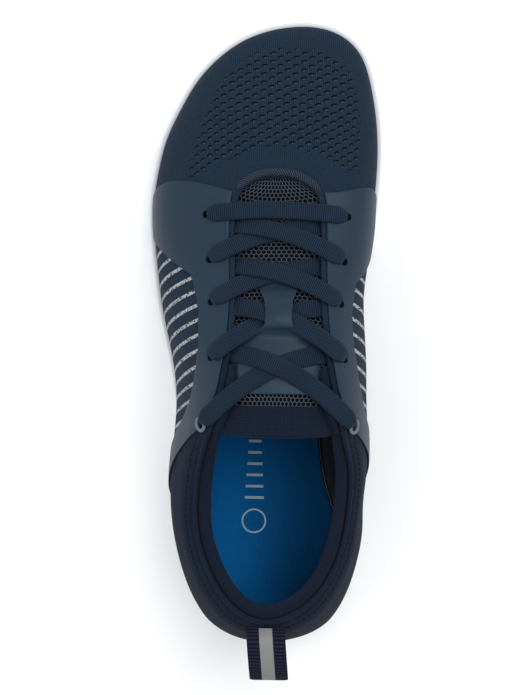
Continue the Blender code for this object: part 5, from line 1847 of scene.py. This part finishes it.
LUG_SIZE = 1.08
LUG_CLEAR = 0.0008
LUG_SHAPE = [(0, 0), (1, -0.37), (0.86, -1), (0, -0.54), (-0.86, -1), (-1, -0.37)]
LUG_TAPER = 0.86
LUG_BEVEL = 0.07
NUB_RADIUS = 0.16
NUB_BACK = 0.42
NUB_SCALE = 0.0022
NUB_HEIGHT = 0.00025


def lug_template():
    """One chevron lug, tip at the origin and arms towards -Y, with a small nub."""
    middle = np.mean(LUG_SHAPE, axis=0)
    top = [(x, y, TREAD_ROOT) for x, y in LUG_SHAPE]
    low = [(*(middle + (np.array(p) - middle) * LUG_TAPER), 0.0) for p in LUG_SHAPE]
    points, faces = [], []
    prism(points, faces, low, top)
    made = out_facing(link("Lug_shape", points, faces, None, smooth=False))
    mesh = made.data
    work = bmesh.new()
    work.from_mesh(mesh)
    edges = [e for e in work.edges if min(v.co.z for v in e.verts) < 0.0005]
    bmesh.ops.bevel(work, geom=edges, offset=LUG_BEVEL, segments=2, affect="EDGES", profile=0.6)
    for vertex in work.verts:
        vertex.co.z = min(max(vertex.co.z, 0.0), TREAD_ROOT)
    nub = bmesh.ops.create_uvsphere(work, u_segments=12, v_segments=6, radius=NUB_RADIUS)
    for vertex in nub["verts"]:
        vertex.co.z = vertex.co.z * NUB_SCALE + NUB_HEIGHT
        vertex.co.y -= NUB_BACK
    work.to_mesh(mesh)
    work.free()
    made.hide_render = True
    return made


def clear_of_blocks(x, s, way, wide, high):
    """The lug's place, moved in where its arm would run into an edge block."""
    for side, first, last, _, _ in EDGE_BLOCKS:
        if x * side > 0 and min(first, last) <= s / LENGTH <= max(first, last):
            edge = min(
                abs(sole_edge([turn_of(at / LENGTH, side)])[0][0])
                for at in (s, s - way * high * LUG_SIZE)
            )
            x -= side * max(0.0, abs(x) + wide * LUG_SIZE + BLOCK_ACROSS + LUG_CLEAR - edge)
    return x, s, way, wide, high


def build_lugs(material):
    places = [clear_of_blocks(*place) for place in lug_places()]
    points = [(x, s - HEEL_TO_ORIGIN, float(tread(s))) for x, s, *_ in places]
    source = line_object("Lug_points", points, [])
    # Each lug lies along the tread from its tip to the ends of its arms.
    tips = np.array([s for _, s, _, _, _ in places])
    reach = np.array([way * high for _, _, way, _, high in places]) * LUG_SIZE
    slope = (tread(tips) - tread(tips - reach)) / reach
    turns = [(math.atan(k) * way, 0.0, 0.0 if way > 0 else math.pi)
             for k, (_, _, way, _, _) in zip(slope, places)]
    sizes = [(wide, high, 1.0) for _, _, _, wide, high in places]
    for name, values in (("turn", turns), ("size", sizes)):
        attribute = source.data.attributes.new(name, "FLOAT_VECTOR", "POINT")
        attribute.data.foreach_set("vector", np.array(values, np.float32).reshape(-1))
    template = lug_template()
    made = grow("Chevron_lugs", source, scatter_tree(template), {
        "Size": LUG_SIZE, "Material": material,
    })
    bpy.data.objects.remove(template, do_unlink=True)
    return made


# Grooves and sipes under the arch and the heel: (x, distance from the heel), millimetres
TREAD_GROOVES = [
    [(40.6, 165.3), (23.4, 151.5), (20.6, 145.6), (17.1, 136.8), (14.6, 128), (13.5, 119.7),
     (14, 108.7), (15.5, 97.8), (16.9, 89.9), (20, 82.4)],
    [(35.2, 150), (24.4, 150.9)],
    [(31.3, 137.2), (17.1, 136.3), (7.8, 135.3)],
    [(28.4, 120.6), (14, 119.1), (3, 118.1)],
    [(27.9, 110.2), (14.5, 108.7), (5.5, 106.7)],
    [(27.9, 99.8), (16, 95.3), (10, 93.3)],
    [(29.4, 89.4), (20.9, 82.4)],
    [(35.3, 39.7), (27.9, 43.2), (20.9, 51.1)],
    [(31.3, 16.4), (21.9, 24.3), (13.5, 35.2)],
    [(21.4, 5.5), (7, 20.4)],
    [(4.5, 3), (-3.9, 12.4), (-12.8, 23.8)],
    [(-17.3, 7.5), (-16.6, 28.8), (-23.8, 38.7)],
    [(-27.5, 24.8), (-25.4, 41.7), (-30.2, 49.1)],
    [(34.8, 60.1), (31.5, 52.6)], [(32, 62.4), (27.7, 54.4)], [(29.2, 39.2), (24.9, 29.3)],
    [(25.7, 41.4), (21.6, 33.1)], [(22.2, 44.5), (18.6, 36.7)],
]


ARCH_GROOVES = (0.075, 0.17)              # distances from the heel


def build_grooves():
    points, edges = [], []
    for line in TREAD_GROOVES:
        row = np.array(line) * (0.978, 1.0) / 1000
        fine = refine_line(row, 10 * len(row))
        start = len(points)
        under_arch = ARCH_GROOVES[0] < row[:, 1].mean() < ARCH_GROOVES[1]
        depth = 0.0001 + (ARCH_PANEL_DROP if under_arch else 0.0)
        for x, s in fine:
            points.append((x, s - HEEL_TO_ORIGIN, float(tread(s)) + LUG_HEIGHT - depth))
        edges += [(start + i, start + i + 1) for i in range(len(fine) - 1)]
    source = line_object("Groove_lines", points, edges)
    return grow("Tread_grooves", source, rod_tree(), {
        "Radius": 0.00030, "Sides": 8, "Material": finish_named("Groove shade"),
    })


PRINT_CENTRE = (-0.0042, -0.0073)
PRINT_RADII = (0.0049, 0.0057)
PRINT_THICKNESS = 0.00015
PRINT_BARS = 7
PRINT_BAR_START = 0.0035
PRINT_BAR_STEP = 0.0052
PRINT_BAR_HALF = 0.0006


def build_print(material, low):
    """Plain ring and a row of graduated bars on the insole."""
    centre, high = np.array(PRINT_CENTRE), low + PRINT_THICKNESS
    inner, outer = PRINT_RADII
    rows = []
    for a in full_turn(72):
        out = np.array([math.cos(a), math.sin(a)])
        rows.append([(*(centre + out * r), z) for r, z in (
            (inner, low), (outer, low), (outer, high), (inner, high),
        )])
    faces = grid_faces(len(rows), 4, closed_rows=True, closed_columns=True)
    points = np.array(rows).reshape(-1, 3)
    ring_mark = out_facing(link("Size_ring", points, faces, material, smooth=False))
    points, faces = [], []
    for i in range(PRINT_BARS):
        y, wide = PRINT_BAR_START + PRINT_BAR_STEP * i, 0.0044 - 0.0003 * i
        plan = [(centre[0] + a * wide, y + b * PRINT_BAR_HALF)
                for a, b in ((-1, -1), (1, -1), (1, 1), (-1, 1))]
        prism(points, faces, [(*p, low) for p in plan], [(*p, high) for p in plan])
    return ring_mark, out_facing(link("Size_bars", points, faces, material, smooth=False))


def length_property(name, description, value):
    return bpy.props.FloatProperty(
        name=name, description=description, default=value, unit="LENGTH", precision=5)


class ShoeSizes(bpy.types.PropertyGroup):
    """Sizes of the laces, net, stitches and stage."""

    lace_width: length_property("Lace width", "Width of the flat lace", 0.0078)
    lace_thickness: length_property(
        "Lace thickness", "Thickness of the flat lace", LACE_THICKNESS)
    lace_droop: bpy.props.FloatProperty(
        name="Lace droop", description="How late a crossing bends down to its hole", default=2.1)
    lace_past: length_property(
        "Lace past hole", "How far a lace end reaches past its hole's middle", 0.0010)
    rib_pitch: length_property(
        "Lace rib pitch", "Distance between the lace's cross ribs", 0.00092)
    rib_height: length_property(
        "Lace rib height", "Depth between the lace's cross ribs", 0.00026)
    net_pitch: length_property(
        "Net pitch", "Distance between the holes of the tongue's net", 0.0021)
    net_thread: length_property("Net thread", "Radius of the net's threads", 0.00026)
    stitch_step: length_property("Stitch step", "Distance between stitches", 0.0026)
    camera_height: length_property(
        "Camera height", "Height of the camera above the floor", 0.70)
    frame_height: length_property(
        "Frame height", "Length of floor that fills the picture", 0.3250)


def colour_property(name, description, value):
    return bpy.props.FloatVectorProperty(
        name=name, description=description, subtype="COLOR", default=value, min=0, max=1)


class ShoeColours(bpy.types.PropertyGroup):
    """Colours of the shoe's materials."""

    knit: colour_property("Knit", "Navy knit of the toe and sides", (0.0098, 0.0215, 0.0390))
    quarter: colour_property("Quarter", "Smooth cloth round the heel", (0.0062, 0.0115, 0.0240))
    lining: colour_property("Collar cloth", "Padded roll", (0.0062, 0.0112, 0.0235))
    film: colour_property("Film", "Welded side panels", (0.0120, 0.0270, 0.0465))
    stripe: colour_property("Light yarn", "Slanting rows on the sides", (0.37, 0.38, 0.39))
    lace: colour_property("Lace", "Flat lace", (0.0105, 0.0215, 0.0400))
    net: colour_property("Net thread", "Threads of the tongue's net", (0.046, 0.058, 0.078))
    net_base: colour_property("Tongue cloth", "Cloth under the net", (0.002, 0.0025, 0.0035))
    piping: colour_property("Piping", "Heathered piping", (0.024, 0.034, 0.050))
    rubber: colour_property("Sole rubber", "Sole and tread", (0.60, 0.62, 0.65))
    groove: colour_property("Groove shade", "Bottom of the tread's grooves", (0.20, 0.21, 0.23))
    insole: colour_property("Insole", "Insole board", (0.001, 0.062, 0.185))
    insole_print: colour_property("Insole print", "Ring and bars", (0.33, 0.42, 0.50))
    rim: colour_property("Eyelet rim", "Rims of the top holes", (0.12, 0.14, 0.165))
    webbing: colour_property("Webbing", "Pull loop", (0.010, 0.011, 0.024))
    reflector: colour_property("Light stripe", "Middle of the pull loop", (0.21, 0.21, 0.205))
    thread: colour_property("Stitch thread", "Seams", (0.004, 0.007, 0.014))
    floor: colour_property("Floor", "Paper floor", (0.90, 0.90, 0.90))


def needed(name):
    made = bpy.data.objects.get(name)
    if made is None:
        raise RuntimeError(f"{name} has to be built first")
    return made


class SHOE_OT_sole(bpy.types.Operator):
    """Build the moulded sole with its lugs, bars, blocks, arch panel and grooves"""

    bl_idname = "shoe.sole"
    bl_label = "Sole"

    def execute(self, context):
        rubber = finish_named("Sole rubber")
        stand_for(build_sole(rubber), "outsole")
        for make in (build_lugs, build_bars, build_arch, build_blocks):
            carry(make(rubber))
        carry(build_grooves())
        return {"FINISHED"}


class SHOE_OT_insole(bpy.types.Operator):
    """Build the insole board with its plain ring and bars"""

    bl_idname = "shoe.insole"
    bl_label = "Insole"

    def execute(self, context):
        stand_for(build_insole(finish_named("Insole foam")), "insole")
        carry(*build_print(finish_named("Insole print"), BASE_TOP + FIT_GAP + INSOLE_THICKNESS))
        return {"FINISHED"}


class SHOE_OT_upper(bpy.types.Operator):
    """Build the knitted shell"""

    bl_idname = "shoe.upper"
    bl_label = "Upper"

    def execute(self, context):
        stand_for(build_upper(finish_named("Knit")), "upper")
        return {"FINISHED"}


# Row of stitches under the collar's edge
SEAM_STATION = 0.375
SEAM_UP = 0.87
SEAM_LIFT = 0.00012


class SHOE_OT_collar(bpy.types.Operator):
    """Build the padded collar roll with its facings and stitches"""

    bl_idname = "shoe.collar"
    bl_label = "Collar"

    def execute(self, context):
        cloth = finish_named("Collar cloth")
        roll = build_collar(cloth)
        stand_for(roll, "collar_pad")
        step, thread = context.scene.shoe_sizes.stitch_step, finish_named("Stitch thread")
        first = turn_of(SEAM_STATION, -1)
        turns = np.linspace(first, -first, 400)
        ups = np.full(len(turns), SEAM_UP)
        line = off_last(turns, ups, SEAM_LIFT + upper_relief(turns, ups))
        carry(grow("Collar_stitches", one_line("Stitch_line", line), stitch_tree(), {
            "Step": step, "Length": step * 0.72, "Radius": 0.0002, "Material": thread,
        }))
        for side, name in ((-1, "Lateral_facing"), (1, "Medial_facing")):
            carry(build_facing(name, side, cloth))
        ups = np.linspace(0.62, 0.99, 40)
        heel = np.zeros(len(ups))
        line = off_last(heel, ups, upper_relief(heel, ups))
        carry(grow("Back_seam", one_line("Seam_line", line), rod_tree(), {
            "Radius": 0.00045, "Sides": 8, "Material": thread,
        }))
        return {"FINISHED"}


class SHOE_OT_films(bpy.types.Operator):
    """Build the welded side films and the piping at the front of the throat"""

    bl_idname = "shoe.films"
    bl_label = "Films and piping"

    def execute(self, context):
        film = finish_named("Film")
        stand_for(build_film("Lateral_film", -1, film), "overlay_lateral")
        stand_for(build_film("Medial_film", +1, film), "overlay_medial")
        stand_for(build_binding(finish_named("Piping")), "throat_binding")
        return {"FINISHED"}


class SHOE_OT_tongue(bpy.types.Operator):
    """Build the tongue with its net, top band and patch"""

    bl_idname = "shoe.tongue"
    bl_label = "Tongue"

    def execute(self, context):
        sizes = context.scene.shoe_sizes
        tongue = build_tongue(finish_named("Tongue cloth"))
        stand_for(tongue, "tongue")
        surface = tongue_surface()
        lines = net_lines(surface, sizes.net_pitch, TONGUE_WALL / 2 + 0.00022)
        carry(grow("Tongue_net", line_object("Net_lines", *lines), rod_tree(), {
            "Radius": sizes.net_thread, "Sides": 5, "Material": finish_named("Net thread"),
        }))
        carry(build_tongue_band(surface, finish_named("Collar cloth")))
        stand_for(build_patch(finish_named("Film"), Ground(tongue)), "tongue_patch")
        return {"FINISHED"}


LACE_TUCK = 0.004         # how far a run starts under the throat's edge
LACE_CLEAR = 0.0002
BRIDGED_CLEAR = 0.0016


class SHOE_OT_laces(bpy.types.Operator):
    """Build the hole rims and run the flat lace through the holes"""

    bl_idname = "shoe.laces"
    bl_label = "Laces"

    def execute(self, context):
        sizes = context.scene.shoe_sizes
        films = {-1: Ground(needed("Lateral_film")), 1: Ground(needed("Medial_film"))}
        tongue = Ground(needed("Tongue"))
        names = ("Upper", "Tongue", "Throat_piping", "Lateral_film", "Medial_film")
        bare = Ground(*(needed(n) for n in names))
        ground = Ground(*(needed(n) for n in names), needed("Tongue_patch"))
        for side, name in ((-1, "lateral"), (1, "medial")):
            tree = films[side].trees[0]
            rim = build_rim(f"Eyelet_{name}", side, tree, finish_named("Eyelet rim"))
            stand_for(rim, f"eyelet_{name}")
            ground.add(rim)
            for index in range(len(HOLES)):
                carry(hole_disc(f"Hole_{name}_{index + 1}", index, side, tree))
        for index in (3, 2, 1, 0):
            # The third crossing runs under the patch's bridge.
            bridged = index == 2
            under, clear = (bare, BRIDGED_CLEAR) if bridged else (ground, LACE_CLEAR)
            runs = []
            for layer, side in (("under", +1), ("over", -1)):
                below = Ground(*runs)
                below.trees += under.trees
                edge = throat_across(LACE_STARTS[index], side) + side * LACE_TUCK
                made = lace_run(
                    f"Lace_{index + 1}_{layer}", (edge, along_foot(LACE_STARTS[index])),
                    hole_plan(index + 1, -side), below, tongue, clear, sizes, (False, True))
                stand_for(made, f"lace_cross_{index + 1}")
                runs.append(made)
            for made in runs:
                ground.add(made)
        bar = lace_run("Lace_bar", hole_plan(0, -1), hole_plan(0, +1), ground, None, LACE_CLEAR,
                       sizes, (True, True))
        stand_for(bar, "lace_bar")
        return {"FINISHED"}


class SHOE_OT_loop(bpy.types.Operator):
    """Build the webbing loop at the heel"""

    bl_idname = "shoe.loop"
    bl_label = "Pull loop"

    def execute(self, context):
        stand_for(build_loop(finish_named("Webbing")), "pull_loop")
        return {"FINISHED"}


FLOOR_HALF = 3.0
FLOOR_HEIGHT = -0.0004
LAMPS = [
    # name, place, size, watts
    ("Key", (0.40, 0.50, 1.15), 1.2, 12),
    ("Fill", (-0.9, -0.1, 0.9), 1.1, 5),
]
LAMPS_AIM = (0, 0.06, 0)
SKY_COLOUR = (0.95, 0.97, 1, 1)
SKY_POWER = 0.72
CAMERA_ALONG = 0.0728
CAMERA_TURN = math.radians(1.0)


class SHOE_OT_stage(bpy.types.Operator):
    """Set the floor, the lamps and the camera"""

    bl_idname = "shoe.stage"
    bl_label = "Stage"

    def execute(self, context):
        sizes, colours = context.scene.shoe_sizes, context.scene.shoe_colours
        corners = [(x * FLOOR_HALF, y * FLOOR_HALF, FLOOR_HEIGHT)
                   for x, y in ((-1, -1), (1, -1), (1, 1), (-1, 1))]
        paper = plain_finish("Paper", colours.floor, 0.9)
        floor = link("Floor", corners, [(0, 1, 2, 3)], paper)
        for name, at, size, power in LAMPS:
            lamp = bpy.data.lights.new(name, "AREA")
            lamp.size, lamp.energy = size, power
            made = bpy.data.objects.new(name, lamp)
            context.scene.collection.objects.link(made)
            made.location = at
            aim = Vector(LAMPS_AIM) - Vector(at)
            made.rotation_euler = aim.to_track_quat("-Z", "Y").to_euler()
        world = bpy.data.worlds.new("Studio")
        world.use_nodes = True
        background = world.node_tree.nodes["Background"]
        background.inputs[0].default_value = SKY_COLOUR
        background.inputs[1].default_value = SKY_POWER
        context.scene.world = world
        camera = bpy.data.cameras.new("Camera")
        camera.sensor_fit = "VERTICAL"
        camera.lens = camera.sensor_height * sizes.camera_height / sizes.frame_height
        made = bpy.data.objects.new("Camera", camera)
        context.scene.collection.objects.link(made)
        made.location = (0.0, CAMERA_ALONG, sizes.camera_height)
        made.rotation_euler = (0, 0, CAMERA_TURN)
        context.scene.camera = made
        context.scene.view_settings.view_transform = "Standard"
        return {"FINISHED"}


class SHOE_PT_pieces(bpy.types.Panel):
    """The shoe's pieces in building order"""

    bl_idname = "SHOE_PT_pieces"
    bl_label = "Barefoot shoe"
    bl_space_type = "VIEW_3D"
    bl_region_type = "UI"
    bl_category = "Shoe"

    def draw(self, context):
        layout = self.layout
        for group in (context.scene.shoe_sizes, context.scene.shoe_colours):
            box = layout.box()
            for name in group.bl_rna.properties.keys():
                if name not in ("rna_type", "name"):
                    box.prop(group, name)
        for operator in OPERATORS:
            layout.operator(operator.bl_idname)


OPERATORS = (
    SHOE_OT_sole, SHOE_OT_insole, SHOE_OT_upper, SHOE_OT_collar, SHOE_OT_films,
    SHOE_OT_tongue, SHOE_OT_laces, SHOE_OT_loop, SHOE_OT_stage,
)
CLASSES = (ShoeSizes, ShoeColours, *OPERATORS, SHOE_PT_pieces)


def register():
    for item in CLASSES:
        bpy.utils.register_class(item)
    bpy.types.Scene.shoe_sizes = bpy.props.PointerProperty(type=ShoeSizes)
    bpy.types.Scene.shoe_colours = bpy.props.PointerProperty(type=ShoeColours)


def unregister():
    del bpy.types.Scene.shoe_colours
    del bpy.types.Scene.shoe_sizes
    for item in reversed(CLASSES):
        bpy.utils.unregister_class(item)


def main():
    register()
    for name in ("sole", "insole", "upper", "collar", "films", "tongue", "laces", "loop", "stage"):
        getattr(bpy.ops.shoe, name)()


if __name__ == "__main__":
    main()
